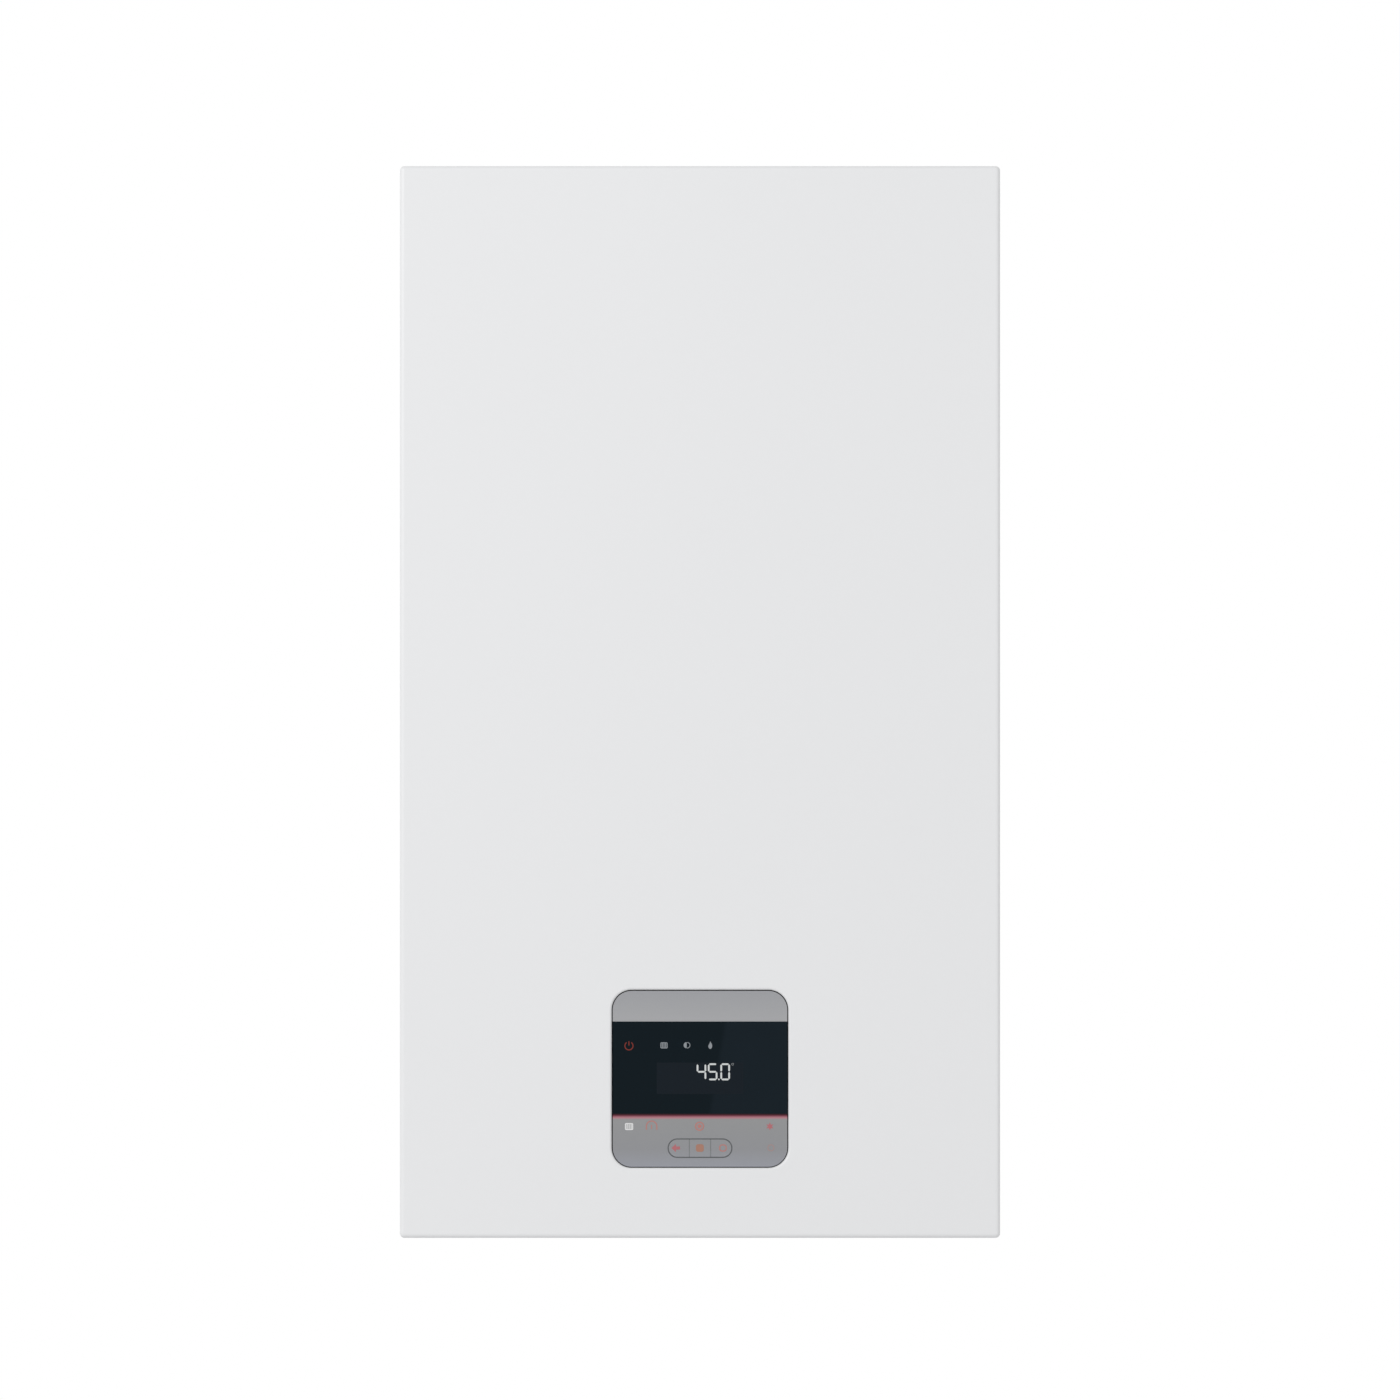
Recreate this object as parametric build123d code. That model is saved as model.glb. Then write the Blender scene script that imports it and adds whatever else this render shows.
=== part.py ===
"""Wall-hung condensing combi boiler: painted casing, chassis, control box, burner cell and hydraulics.

X runs to the right seen from the front, Y into the wall and Z up. Heights are worked out from the
casing's bottom edge and depths from the wall plane; the last lines then put the origin midway
between the two wall screws, on the wall plane.
"""
from build123d import *
import math
import os

# ---- casing and chassis, all sizes in millimetres ----
casing_width = 392.0
casing_height = 700.0
casing_depth = 280.0        # wall plane to front face
sheet = 1.0                 # painted casing and chassis steel
front_return = 40.0         # how far the front casing wraps back
bend_radius = 3.0           # outside bend of the front casing
hem_width = 12.0            # rear hem of the front casing
shadow_gap = 1.5            # between the front casing and the side panels
seal_gap = 0.2              # between the seal and the hem
seal_width = 5.0
seal_edge = 7.5             # seal set in from the casing's outline
flange_width = 18.0         # front flanges of side and top panels
fit_gap = 0.3               # between parts that only have to pass each other
wall_gap = 8.0              # wall plane to the back of the back panel
underside_recess = 40.0     # bottom panel above the casing's bottom edge
bottom_panel_gap = 7.0      # control box to the bottom panel's front edge
panel_flange = 12.0         # stiffening flanges
crossbar_height = 12.0
crossbar_depth = 14.0
foot_height = 2.0           # side panel's screw flange above the bottom edge
screw_radius = 2.0
screw_head_radius = 4.0
screw_head_height = 2.0
nut_radius = 4.5
nut_height = 2.8
tab_half = 12.0             # screw tabs of the front casing, half width
tab_reach = 16.0
casing_screw_pitch = 196.0

# ---- wall bracket ----
bracket_width = 300.0
bracket_height = 46.0
bracket_sheet = 2.5
wall_screw_pitch = 220.0
wall_screw_radius = 4.5
wall_screw_drop = 15.0      # wall screws below the bracket's top edge
hanger_drop = 35.0          # wall screws below the casing's top edge
hook_pitch = 120.0
hook_width = 40.0
hook_lip = 12.0
hook_gap = 0.5
access_gap = 9.0            # round each wall screw in the back panel

# ---- control box and its face ----
box_width = 320.0
box_height = 162.0
box_bottom = 28.0           # above the casing's bottom edge
box_setback = 12.0          # box front behind the casing's front face
box_depth_share = 0.225     # box depth as a share of the casing's depth
box_wall = 2.5
box_corner = 8.0
hinge_in = 18.0             # hinge axis behind the box front
hinge_up = 6.0              # hinge axis above the box bottom
pin_radius = 3.0
pin_running_gap = 0.05
boss_radius = 6.0
ear_gap = 8.0               # box side to hinge ear
ear_play = 0.5
ear_thickness = 2.0
ear_half = 10.0
face_width = 114.0
face_height = 114.9
face_bottom = 46.5
face_corner = 12.4
face_recess = 1.0           # face behind the casing's front
face_thickness = 3.0
face_skirt = 2.5
face_gap = 0.6              # round the face in the casing window
window_lip_depth = 4.0
window_edge_radius = 1.8
glass_bottom = 78.6
glass_height = 62.7
glass_thickness = 1.5
glass_gap = 0.1
display_width = 58.2
display_height = 21.1
display_middle = 104.3      # above the casing's bottom edge
display_gap = 0.3
key_bar_width = 41.0
key_bar_height = 11.4
key_bar_middle = 58.7
key_share = 14.0            # width of the middle key
key_gap = 0.3               # round the row of keys
key_split = 0.2             # between the keys
key_travel = 0.8
key_lip = 1.2               # retaining lip round the keys, behind the face
key_lip_thickness = 1.0
key_lip_gap = 0.05
key_stem_radius = 2.0
switch_radius = 4.0
switch_height = 1.2
board_thickness = 1.6
face_board_size = 100.0
board_width = 250.0
board_height = 120.0
board_to_cover = 13.0
post_radius = 4.0
transformer_size = (46.0, 34.0, 40.0)
relay_size = (28.0, 15.0, 12.0)
relay_count = 4
relay_pitch = 18.0
plug_size = (16.0, 12.0, 10.0)
plug_count = 9
plug_pitch = 20.8

# ---- flue ----
flue_depth = 125.0          # flue axis in front of the wall
air_socket_radius = 50.0
air_socket_wall = 2.5
air_socket_length = 44.0
collar_flange = 16.0
collar_screw_pitch_radius = 62.5
collar_screw_radius = 2.1
collar_screw_count = 4
flange_thickness = 3.0
flue_socket_radius = 30.2
flue_socket_length = 38.0
flue_socket_drop = 27.0     # flue socket's mouth below the lid
flue_wall = 2.3
spigot_length = 16.0
web_thickness = 3.0
web_count = 4

# ---- burner cell ----
cell_drop = 230.0           # cell's axis below the casing's top edge
cell_side_share = 0.68      # share of the width left over that lies left of the cell
cell_radius = 104.0
cell_wall = 2.0
cell_stand_off = 6.5        # cell bracket to the rear of the cell
cell_front_gap = 68.0       # cell in front of its flange to the casing's front
cell_flange = 12.0
cell_bracket_sheet = 1.5
cell_bracket_height = 180.0
cell_bracket_gap = 3.7      # between the expansion vessel and the bracket
cell_foot_radius = 8.0
cell_foot_circle = 70.0
cell_foot_count = 3
gasket_thickness = 2.0
gasket_inner = 92.0
door_thickness = 7.0
door_boss_radius = 32.0
door_boss_height = 4.0
door_rib_width = 6.0
door_rib_height = 2.5
stud_count = 6
stud_radius = 2.5
stud_nut_radius = 4.5
stud_nut_height = 5.0
stud_inset = 5.5            # stud circle inside the flange's edge
coil_radius = 84.0
coil_tube_radius = 8.0
coil_turns = 5
coil_pitch = 19.0
header_radius = 9.0
header_offset = 50.0        # water necks either side of the cell's middle
neck_wall = 3.5
neck_offset = 10.0          # water necks behind the last coil ring
neck_drop = 2.0             # water necks below the bottom of the cell
drain_radius = 9.0
drain_drop = 12.0
burner_radius = 35.0
burner_share = 0.69         # burner's length, of the cell's
burner_wall = 1.2
burner_flange = 5.0
flue_neck_rise = 18.0       # flue neck above the top of the cell
flue_neck_seat = 20.0
electrode_radius = 1.2
electrode_ceramic_radius = 3.8
electrode_share = 0.78      # electrode's length, of the cell's
electrode_head = 16.0
electrode_out = 50.0        # from the middle of the door
electrode_angle = 127.0

# ---- fan, mixing tube and gas train ----
fan_side_share = 0.26       # share of the width left over that lies right of the fan
fan_gap = 18.5              # cell bracket to the fan
fan_radius = 54.0
fan_height = 40.0
fan_wall = 3.0
fan_outlet_radius = 18.5
fan_outlet_reach = 56.0
impeller_gap = 5.0
impeller_hub_radius = 8.0
impeller_inner_radius = 26.0
impeller_blades = 16
blade_thickness = 1.5
shaft_radius = 3.0
shaft_running_gap = 0.05
fan_shaft_in_motor = 28.0
motor_radius = 38.0
motor_height = 46.0
tube_wall = 2.5
mixing_radius = 19.0
mixing_bend = 22.0
mixing_flange_radius = 30.0
mixing_flange_thickness = 4.0
fan_flange_radius = 26.0
intake_radius = 26.0
intake_throat = 18.0
intake_share = 0.17         # of the height between pump and fan
intake_tail_share = 0.16
intake_mouth = 34.0
gas_pipe_radius = 8.0
gas_feed_radius = 6.0
gas_valve_width = 66.0
gas_valve_depth = 56.0
gas_valve_share = 0.30      # of the height between pump and fan
gas_valve_drop_share = 0.12  # gas valve below the air intake's mouth
gas_run_share = 0.15        # gas pipe's cross run below the gas valve
gas_step = 75.0             # gas pipe's step forward above its connection
gas_feed_lift = 11.0        # feed's cross run above the gas valve
gas_feed_reach = 13.0       # feed's rise outside the air intake's port
gas_feed_bend = 8.5
gas_cap_overlap = 2.0
gas_cap_inset = 3.0
gas_cap_radius = 17.0
gas_cap_height = 22.0
boss_height = 3.0
boss_reach = 2.0            # side bosses on the round bodies

# ---- hydraulics ----
side_pitch_count = 3        # connection pitches from the middle to the side panel
pump_gap = 3.0              # exchanger's branch pipe to the pump
connection_end = 8.0        # connections' ends above the casing's bottom edge
large_connection_radius = 13.2
small_connection_radius = 10.5
connection_wall = 3.0
collar_width = 4.0
collar_height = 5.0
pipe_hole_gap = 2.0
pipe_radius = 9.0
small_pipe_radius = 7.5
pipe_wall = 1.5
pipe_bend = 14.0
pump_height = 150.0
pump_radius = 42.0
pump_width = 36.0
pump_wall = 4.0
pump_port_radius = 15.0
pump_outlet_offset = 25.0
pump_motor_radius = 40.0
pump_motor_length = 66.0
pump_rotor_radius = 34.0
pump_rotor_width = 14.0
pump_blade_count = 8
pump_blade_height = 3.0
pump_blade_thickness = 2.0
pump_shaft_length = 34.0
plate_width = 184.0
plate_height = 76.0
plate_share = 0.157         # exchanger's thickness, of the casing's depth
plate_middle = 150.0
plate_to_panel = 5.0
plate_count = 11
plate_inset = 1.5
plate_port_rise = 22.0
plate_port_radius = 11.0
plate_port_height = 3.0
branch_height = 84.0        # exchanger's return joins the return block
return_block_gap = 8.0      # return block's top below the pump body
valve_body_radius = 20.0
valve_wall = 3.0
valve_top = 200.0
valve_seat = 100.0
valve_stroke = 8.0
valve_disc_gap = 0.5
valve_disc_thickness = 6.0
valve_inlet_height = 146.0
valve_boss_radius = 13.0
valve_boss_reach = 24.0
stem_length = 124.0
stem_clearance = 2.0        # above the stem's upper end when it is lifted
actuator_size = 46.0
actuator_length = 52.0
relief_height = 115.0
relief_offset = 38.0        # relief valve outside the left connection
relief_radius = 11.0
relief_body_height = 32.0
relief_outlet_radius = 7.5
relief_end = 14.0
relief_knob_radius = 13.0
relief_knob_height = 18.0
knob_gap = 1.0
groove_count = 8
knob_groove_share = 0.2     # groove radius, of the knob's
spindle_radius = 3.0
sensor_radius = 14.0
sensor_wall = 2.0
sensor_length = 54.0
turbine_gap = 0.6
turbine_length = 20.0
turbine_blades = 6
turbine_blade_thickness = 1.0
spider_half = 2.0
turbine_shaft_radius = 1.2
filling_height = 70.0
filling_radius = 11.0
filling_body_height = 24.0
filling_tube_radius = 6.5
filling_knob_radius = 14.0
filling_knob_height = 20.0
filling_knob_end = 14.0
filling_bore_floor = 2.0    # closed end of the filling knob
filling_spindle_end = 3.0   # spindle's end above the knob's lower face
trap_radius = 28.0
trap_top = 190.0
trap_wall = 2.0
trap_flange = 4.0
trap_outlet_height = 130.0
cup_height = 40.0
cup_bottom = 22.0
cup_gap = 0.4
cup_wall = 2.0
spout_offset = 48.0
spout_radius = 10.5
spout_end = 10.0
hose_radius = 10.0
gland_radius = 7.5
gland_bore = 4.0
gland_nut = 4.0
gland_height = 6.0
gland_pitch = 26.0

# ---- expansion vessel ----
vessel_width = 320.0
vessel_bottom = 240.0
vessel_top_gap = 60.0       # vessel below the casing's top edge
vessel_depth_share = 0.225
vessel_corner = 40.0
vessel_edge = 16.0
vessel_wall = 1.5
vessel_seam = 5.0
seam_thickness = 2.0
membrane = 1.5
vessel_port_offset = 10.0   # port behind the seam
vessel_port_drop = 6.0
vessel_hose_radius = 5.0
vessel_hose_bend = 15.0
vessel_hose_height = 110.0

# ---- planes and places that several parts share ----
half_width = casing_width / 2
hanger_height = casing_height - hanger_drop
front_face = -casing_depth
casing_back = front_face + front_return
panel_front = casing_back + shadow_gap
panel_back = panel_front + sheet            # back of the front flanges
inner_half = half_width - sheet - fit_gap   # half width between the side panels
back_plate_front = -(wall_gap + sheet)
foot_top = foot_height + sheet
ledge_top = foot_top + sheet
lid_bottom = casing_height - sheet
hook_top = hanger_height + wall_screw_drop
bottom_panel_top = underside_recess + sheet
collar_top = bottom_panel_top + collar_height
casing_screw_y = casing_back + tab_reach - tab_half / 2 - screw_radius
panel_screw_x = half_width - flange_width / 2
panel_screw_y = panel_back + crossbar_depth / 2
box_front = front_face + box_setback
box_back = box_front + box_depth_share * casing_depth
bottom_panel_front = box_back + bottom_panel_gap
box_half = box_width / 2
box_middle = box_bottom + box_height / 2
box_top = box_bottom + box_height
board_front = box_back - box_wall - board_to_cover - board_thickness
hinge_y = box_front + hinge_in
hinge_z = box_bottom + hinge_up
ear_x = box_half + ear_gap
face_front = front_face + face_recess
face_back = face_front + face_thickness
face_middle = face_bottom + face_height / 2
switch_top = box_front - board_thickness - switch_height
flue_y = -flue_depth
air_socket_bottom = lid_bottom - air_socket_length
flue_mouth = lid_bottom - flue_socket_drop
flue_socket_bottom = flue_mouth - flue_socket_length
spigot_radius = flue_socket_radius - flue_wall - 2 * fit_gap
vessel_back = back_plate_front - fit_gap
vessel_front = vessel_back - vessel_depth_share * casing_depth
cell_bracket_back = vessel_front - cell_bracket_gap
cell_bracket_front = cell_bracket_back - cell_bracket_sheet
cell_rear = cell_bracket_front - cell_stand_off
flange_radius = cell_radius + cell_flange
spare_width = 2 * (inner_half - flange_radius - fan_radius)
cell_x = flange_radius - inner_half + cell_side_share * spare_width
cell_height = casing_height - cell_drop
cell_front = front_face + cell_front_gap
cell_length = cell_rear - cell_front
flange_front = cell_front - flange_thickness
door_back = flange_front - gasket_thickness
door_front = door_back - door_thickness
door_boss_front = door_front - door_boss_height
stud_circle = flange_radius - stud_inset
neck_bottom = cell_height - cell_radius - neck_drop
coil_back = (cell_rear + cell_front + coil_pitch * (coil_turns - 1)) / 2
neck_y = coil_back + neck_offset
drain_bottom = cell_height - cell_radius - drain_drop
flue_neck_top = cell_height + cell_radius + flue_neck_rise
flue_seat = flue_neck_top - flue_neck_seat
fan_x = inner_half - fan_radius - fan_side_share * spare_width
fan_y = cell_bracket_front - fan_gap - fan_radius
fan_bottom = cell_height - fan_height / 2
fan_top = cell_height + fan_height / 2
outlet_x = fan_x - fan_radius + fan_outlet_radius + fan_wall / 2
outlet_y = fan_y - fan_outlet_reach
pump_top = pump_height + pump_motor_radius + 2 * pump_wall
train_height = fan_bottom - pump_top        # room for the gas train between pump and fan
intake_throat_z = fan_bottom - intake_share * train_height
intake_bottom = intake_throat_z - intake_tail_share * train_height
gas_valve_top = intake_bottom - gas_valve_drop_share * train_height
gas_valve_bottom = gas_valve_top - gas_valve_share * train_height
gas_out_x = fan_x + gas_valve_width / 4
connection_pitch = (half_width - sheet) / side_pitch_count
plate_thickness = plate_share * casing_depth
plate_back = back_plate_front - plate_to_panel
plate_front = plate_back - plate_thickness
port_y = plate_front - plate_port_height
branch_y = port_y - small_pipe_radius - boss_height
connection_y = branch_y - small_pipe_radius - pump_gap - pump_width / 2
flow_x = -2 * connection_pitch
hot_x = -connection_pitch
cold_x = connection_pitch
return_x = 2 * connection_pitch
pump_back = connection_y + pump_width / 2
pump_front = connection_y - pump_width / 2
pump_outlet_x = return_x + pump_outlet_offset
pump_outlet_top = pump_height + pump_radius + boss_height * 2
high_port = plate_middle + plate_port_rise
low_port = plate_middle - plate_port_rise
return_block_top = pump_height - pump_radius - return_block_gap
sensor_top = collar_top + sensor_length
turbine_low = collar_top + (sensor_length - turbine_length) / 2
turbine_high = turbine_low + turbine_length
relief_x = flow_x - relief_offset
filling_left = cold_x + sensor_radius + boss_reach
filling_right = return_x - pump_port_radius - boss_height - boss_reach
filling_x = (filling_left + filling_right) / 2
vessel_height = casing_height - vessel_top_gap - vessel_bottom
seam_y = (vessel_back + vessel_front) / 2
vessel_middle = vessel_bottom + vessel_height / 2
vessel_port_y = seam_y + vessel_port_offset
trap_x = cell_x
trap_y = (connection_y - small_connection_radius - collar_width + bottom_panel_front + sheet) / 2
spout_x = trap_x - spout_offset
gland_y = bottom_panel_front + 3 * gland_radius


# ---- small helpers ----
def block(x0, x1, y0, y1, z0, z1):
    """A box between two corners."""
    size = Box(abs(x1 - x0), abs(y1 - y0), abs(z1 - z0))
    return Pos((x0 + x1) / 2, (y0 + y1) / 2, (z0 + z1) / 2) * size


def wide(half, y0, y1, z0, z1):
    """A box centred across the casing."""
    return block(-half, half, y0, y1, z0, z1)


def post(radius, x, y, z0, z1):
    """A cylinder along Z."""
    return Pos(x, y, (z0 + z1) / 2) * Cylinder(radius, abs(z1 - z0))


def rod_y(radius, x, z, y0, y1):
    """A cylinder along Y."""
    return Pos(x, (y0 + y1) / 2, z) * Rot(90, 0, 0) * Cylinder(radius, abs(y1 - y0))


def rod_x(radius, y, z, x0, x1):
    """A cylinder along X."""
    return Pos((x0 + x1) / 2, y, z) * Rot(0, 90, 0) * Cylinder(radius, abs(x1 - x0))


def slab(sketch, x, z, y0, y1):
    """A sketch drawn as seen from the front, made solid between two depths."""
    back = max(y0, y1)
    return extrude(Plane((x, back, z), x_dir=(1, 0, 0), z_dir=(0, -1, 0)) * sketch, abs(y1 - y0))


def rod_along(points, bends, radius):
    """A solid rod along straight runs joined by tangent arcs."""
    path = FilletPolyline(*points, radius=bends) if len(points) > 2 else Line(*points)
    return sweep(Plane(path @ 0, z_dir=path % 0) * Circle(radius), path=path)


def pipe(points, bends, radius, wall=pipe_wall):
    """A tube along straight runs joined by tangent arcs."""
    return rod_along(points, bends, radius) - rod_along(points, bends, radius - wall)


def both_sides(shape):
    """The shape and its mirror image across the middle plane."""
    return [shape, mirror(shape, Plane.YZ)]


def around(count, start=0.0):
    """Angles in degrees, evenly spaced round a circle."""
    return [start + 360.0 * k / count for k in range(count)]


def half_step(count):
    """Half the angle between neighbours on a circle, in degrees."""
    return 180.0 / count


def on_circle(radius, angle):
    """A point on a circle, its angle in degrees."""
    return radius * math.cos(math.radians(angle)), radius * math.sin(math.radians(angle))


# ---- wall bracket and chassis ----
def make_wall_bracket():
    """Steel plate screwed to the wall, with two upturned hooks that carry the back panel."""
    plate = wide(bracket_width / 2, -bracket_sheet, 0, hook_top - bracket_height, hook_top)
    lip_back = back_plate_front - hook_gap
    x0, x1 = (hook_pitch - hook_width) / 2, (hook_pitch + hook_width) / 2
    tongue = block(x0, x1, lip_back, -bracket_sheet, hook_top - bracket_sheet, hook_top)
    lip = block(x0, x1, lip_back - bracket_sheet, lip_back, hook_top - bracket_sheet, hook_top + hook_lip)
    hole = rod_y(wall_screw_radius, wall_screw_pitch / 2, hanger_height, -2 * bracket_sheet, bracket_sheet)
    return plate + both_sides(tongue + lip) - both_sides(hole)


def make_back_panel():
    """Tray open to the wall: its rim stands on the wall and its slots hang on the hooks."""
    top = lid_bottom - fit_gap
    outer = wide(inner_half, back_plate_front, 0, foot_top, top)
    hollow = wide(inner_half - sheet, -wall_gap, sheet, foot_top + sheet, top - sheet)
    slot_half = hook_width / 2 + fit_gap
    slot = block(hook_pitch / 2 - slot_half, hook_pitch / 2 + slot_half, back_plate_front - sheet,
                 -wall_gap + sheet, hook_top - bracket_sheet - hook_lip - fit_gap, hook_top)
    access = rod_y(wall_screw_radius + access_gap, wall_screw_pitch / 2, hanger_height,
                   back_plate_front - sheet, -wall_gap + sheet)
    return outer - hollow - both_sides(slot) - both_sides(access)


def panel_screw_holes(radius):
    """Holes for the screws that hold the side panels to the crossbar from below."""
    return both_sides(post(radius, panel_screw_x, panel_screw_y, 0, ledge_top + sheet))


def make_right_side_panel():
    """Side skin with a front flange for the seal and a foot flange under the crossbar."""
    top = lid_bottom - fit_gap
    skin = block(half_width - sheet, half_width, panel_front, 0, 0, top)
    front = block(half_width - flange_width, half_width, panel_front, panel_back, 0, top)
    foot = block(half_width - flange_width, half_width, panel_front, -wall_gap, foot_height, foot_top)
    return skin + front + foot - panel_screw_holes(screw_radius)


def make_left_side_panel():
    """Mirror image of the right side panel."""
    return mirror(make_right_side_panel(), Plane.YZ)


def collar_screw_holes(bottom, top):
    """Screw circle of the flue adapter."""
    angles = around(collar_screw_count, half_step(collar_screw_count))
    places = [on_circle(collar_screw_pitch_radius, a) for a in angles]
    return [post(collar_screw_radius, x, flue_y + y, bottom, top) for x, y in places]


def make_top_panel():
    """Lid over the side panels, with the flue opening and stiffening flanges."""
    lid = wide(half_width, panel_front, 0, lid_bottom, casing_height)
    front = wide(half_width - flange_width - fit_gap, panel_front, panel_back,
                 casing_height - flange_width, lid_bottom)
    side = block(inner_half - sheet, inner_half, panel_back + fit_gap, back_plate_front - fit_gap,
                 lid_bottom - panel_flange, lid_bottom)
    opening = post(air_socket_radius + fit_gap, 0, flue_y, lid_bottom - sheet, casing_height + sheet)
    screws = collar_screw_holes(lid_bottom - sheet, casing_height + sheet)
    return lid + front + both_sides(side) - opening - screws


def connection_places():
    """The five main pipe connections: x and the outer radius."""
    large, small = large_connection_radius, small_connection_radius
    return [(flow_x, large), (hot_x, small), (0.0, small), (cold_x, small), (return_x, large)]


def gland_places():
    """Across positions of the cable glands at the front right."""
    return [return_x, return_x + gland_pitch]


def make_bottom_panel():
    """Plate under the hydraulics with a hole for each pipe, the tap, the trap and the glands."""
    front = bottom_panel_front
    back = back_plate_front - fit_gap
    low, high = underside_recess - sheet, bottom_panel_top + sheet
    tray = wide(inner_half, front, back, underside_recess, bottom_panel_top + panel_flange)
    tray -= wide(inner_half - sheet, front + sheet, back - sheet, bottom_panel_top,
                 bottom_panel_top + 2 * panel_flange)
    holes = [post(r + pipe_hole_gap, x, connection_y, low, high) for x, r in connection_places()]
    holes.append(post(relief_outlet_radius + pipe_hole_gap, relief_x, connection_y, low, high))
    holes.append(post(filling_radius, filling_x, connection_y, low, high))
    holes.append(post(trap_radius, trap_x, trap_y, low, high))
    holes.append(post(spout_radius + pipe_hole_gap, spout_x, trap_y, low, high))
    holes += [post(gland_radius + fit_gap, x, gland_y, low, high) for x in gland_places()]
    return tray - holes


def make_front_crossbar():
    """Bar between the side panels, with the two ears of the control box hinge."""
    web = wide(half_width - flange_width - fit_gap, panel_front, panel_back,
               foot_top, foot_top + crossbar_height)
    ledge = wide(inner_half, panel_back, panel_back + crossbar_depth, foot_top, ledge_top)
    ear_end = ear_x + ear_thickness
    upright = block(ear_x, ear_end, panel_back, panel_back + crossbar_depth / 2,
                    ledge_top, hinge_z + ear_half)
    arm = block(ear_x, ear_end, hinge_y - ear_half, panel_back + crossbar_depth / 2,
                hinge_z - ear_half, hinge_z + ear_half)
    bore = rod_x(pin_radius, hinge_y, hinge_z, ear_x - sheet, ear_end + sheet)
    x = casing_screw_pitch / 2
    slot_half = screw_radius + fit_gap
    notch = block(x - nut_radius - fit_gap, x + nut_radius + fit_gap,
                  panel_front - sheet, panel_back + sheet,
                  foot_height, ledge_top + nut_height + 2 * fit_gap)
    slot = block(x - slot_half, x + slot_half, panel_front, casing_screw_y, foot_height, ledge_top + sheet)
    slot += post(slot_half, x, casing_screw_y, foot_height, ledge_top + sheet)
    bar = web + ledge + both_sides(upright + arm - bore)
    return bar - both_sides(notch) - both_sides(slot) - panel_screw_holes(screw_radius)


def make_casing_seal():
    """Foam ring on the front flanges that the front casing closes against."""
    outer, inner = seal_edge, seal_edge + seal_width
    face = casing_back + seal_gap
    ring = wide(half_width - outer, face, panel_front, outer, casing_height - outer)
    return ring - wide(half_width - inner, face - sheet, panel_front + sheet, inner, casing_height - inner)


def make_panel_screws():
    """Screws up through the side panels' feet, heads down."""
    x, y = panel_screw_x, panel_screw_y
    head = post(screw_head_radius, x, y, foot_height - screw_head_height, foot_height)
    return Part() + both_sides(head + post(screw_radius, x, y, foot_height, ledge_top + screw_radius))


def make_hinge_pins():
    """Two headed pins, pressed into the crossbar's ears, that the control box swings on."""
    ear_end = ear_x + ear_thickness
    shank = rod_x(pin_radius, hinge_y, hinge_z, box_half - box_wall, ear_end)
    head = rod_x(pin_radius + ear_thickness, hinge_y, hinge_z, ear_end, ear_end + ear_thickness)
    return Part() + both_sides(shank + head)


# ---- front casing ----
def rounded_block(half, base, top, front, back, radius):
    """A block whose front edges and edges along Y are rounded."""
    solid = wide(half, front, back, base, top)
    edges = solid.faces().sort_by(Axis.Y)[0].edges() + solid.edges().filter_by(Axis.Y)
    return fillet(edges, radius)


def face_outline(grow):
    """Outline of the control face, grown all round."""
    return RectangleRounded(face_width + 2 * grow, face_height + 2 * grow, face_corner + grow)


def make_front_casing():
    """Pressed front cover with a rounded edge, a rear hem, screw tabs and the lipped window."""
    outer = rounded_block(half_width, 0, casing_height, front_face, casing_back, bend_radius)
    inner = rounded_block(half_width - sheet, sheet, lid_bottom, front_face + sheet, casing_back - sheet,
                          bend_radius - sheet)
    reach = sheet + hem_width
    mouth = wide(half_width - reach, casing_back - 2 * sheet, casing_back + sheet,
                 reach, casing_height - reach)
    lip_back = front_face + window_lip_depth
    lip = slab(face_outline(face_gap + sheet), 0, face_middle, front_face + sheet / 2, lip_back)
    casing = outer - inner - mouth + lip
    casing -= slab(face_outline(face_gap), 0, face_middle, front_face - sheet, lip_back + sheet)
    casing = fillet(casing.faces().sort_by(Axis.Y)[0].inner_wires()[0].edges(), window_edge_radius)
    x = casing_screw_pitch / 2
    tab = block(x - tab_half, x + tab_half, casing_back - sheet, casing_back + tab_reach, 0, sheet)
    hole = post(screw_radius + fit_gap / 2, x, casing_screw_y, -sheet, 2 * sheet)
    return casing + both_sides(tab) - both_sides(hole)


def make_casing_screws():
    """Captive screws under the front casing's tabs, with the nuts that clamp the crossbar."""
    x, y = casing_screw_pitch / 2, casing_screw_y
    nut_bottom = ledge_top + fit_gap / 3
    head = post(screw_head_radius, x, y, -screw_head_height, 0)
    nut = post(nut_radius, x, y, nut_bottom, nut_bottom + nut_height)
    return Part() + both_sides(head + post(screw_radius, x, y, 0, nut_bottom) + nut)


# ---- control box ----
def box_outline(inset):
    """Outline of the control box, drawn in from the outside all round."""
    return RectangleRounded(box_width - 2 * inset, box_height - 2 * inset, box_corner - inset)


def board_post_places():
    """Corners of the main board, from its middle."""
    across, up = board_width / 2 - 2 * post_radius, board_height / 2 - 2 * post_radius
    return [(across, up), (-across, up), (across, -up), (-across, -up)]


def make_control_box():
    """Moulded box, open at the back, with hinge bosses at its lower corners and board posts."""
    body = slab(box_outline(0), 0, box_middle, box_front, box_back - box_wall)
    body -= slab(box_outline(box_wall), 0, box_middle, box_front + box_wall, box_back)
    posts = [rod_y(post_radius, x, box_middle + z, box_front + box_wall / 2, board_front)
             for x, z in board_post_places()]
    boss_end = ear_x - ear_play
    boss = rod_x(boss_radius, hinge_y, hinge_z, box_half - box_corner, boss_end)
    bore_start = box_half - box_wall - fit_gap
    bore = rod_x(pin_radius + pin_running_gap, hinge_y, hinge_z, bore_start, boss_end + 1)
    return body + posts + both_sides(boss) - both_sides(bore)


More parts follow.
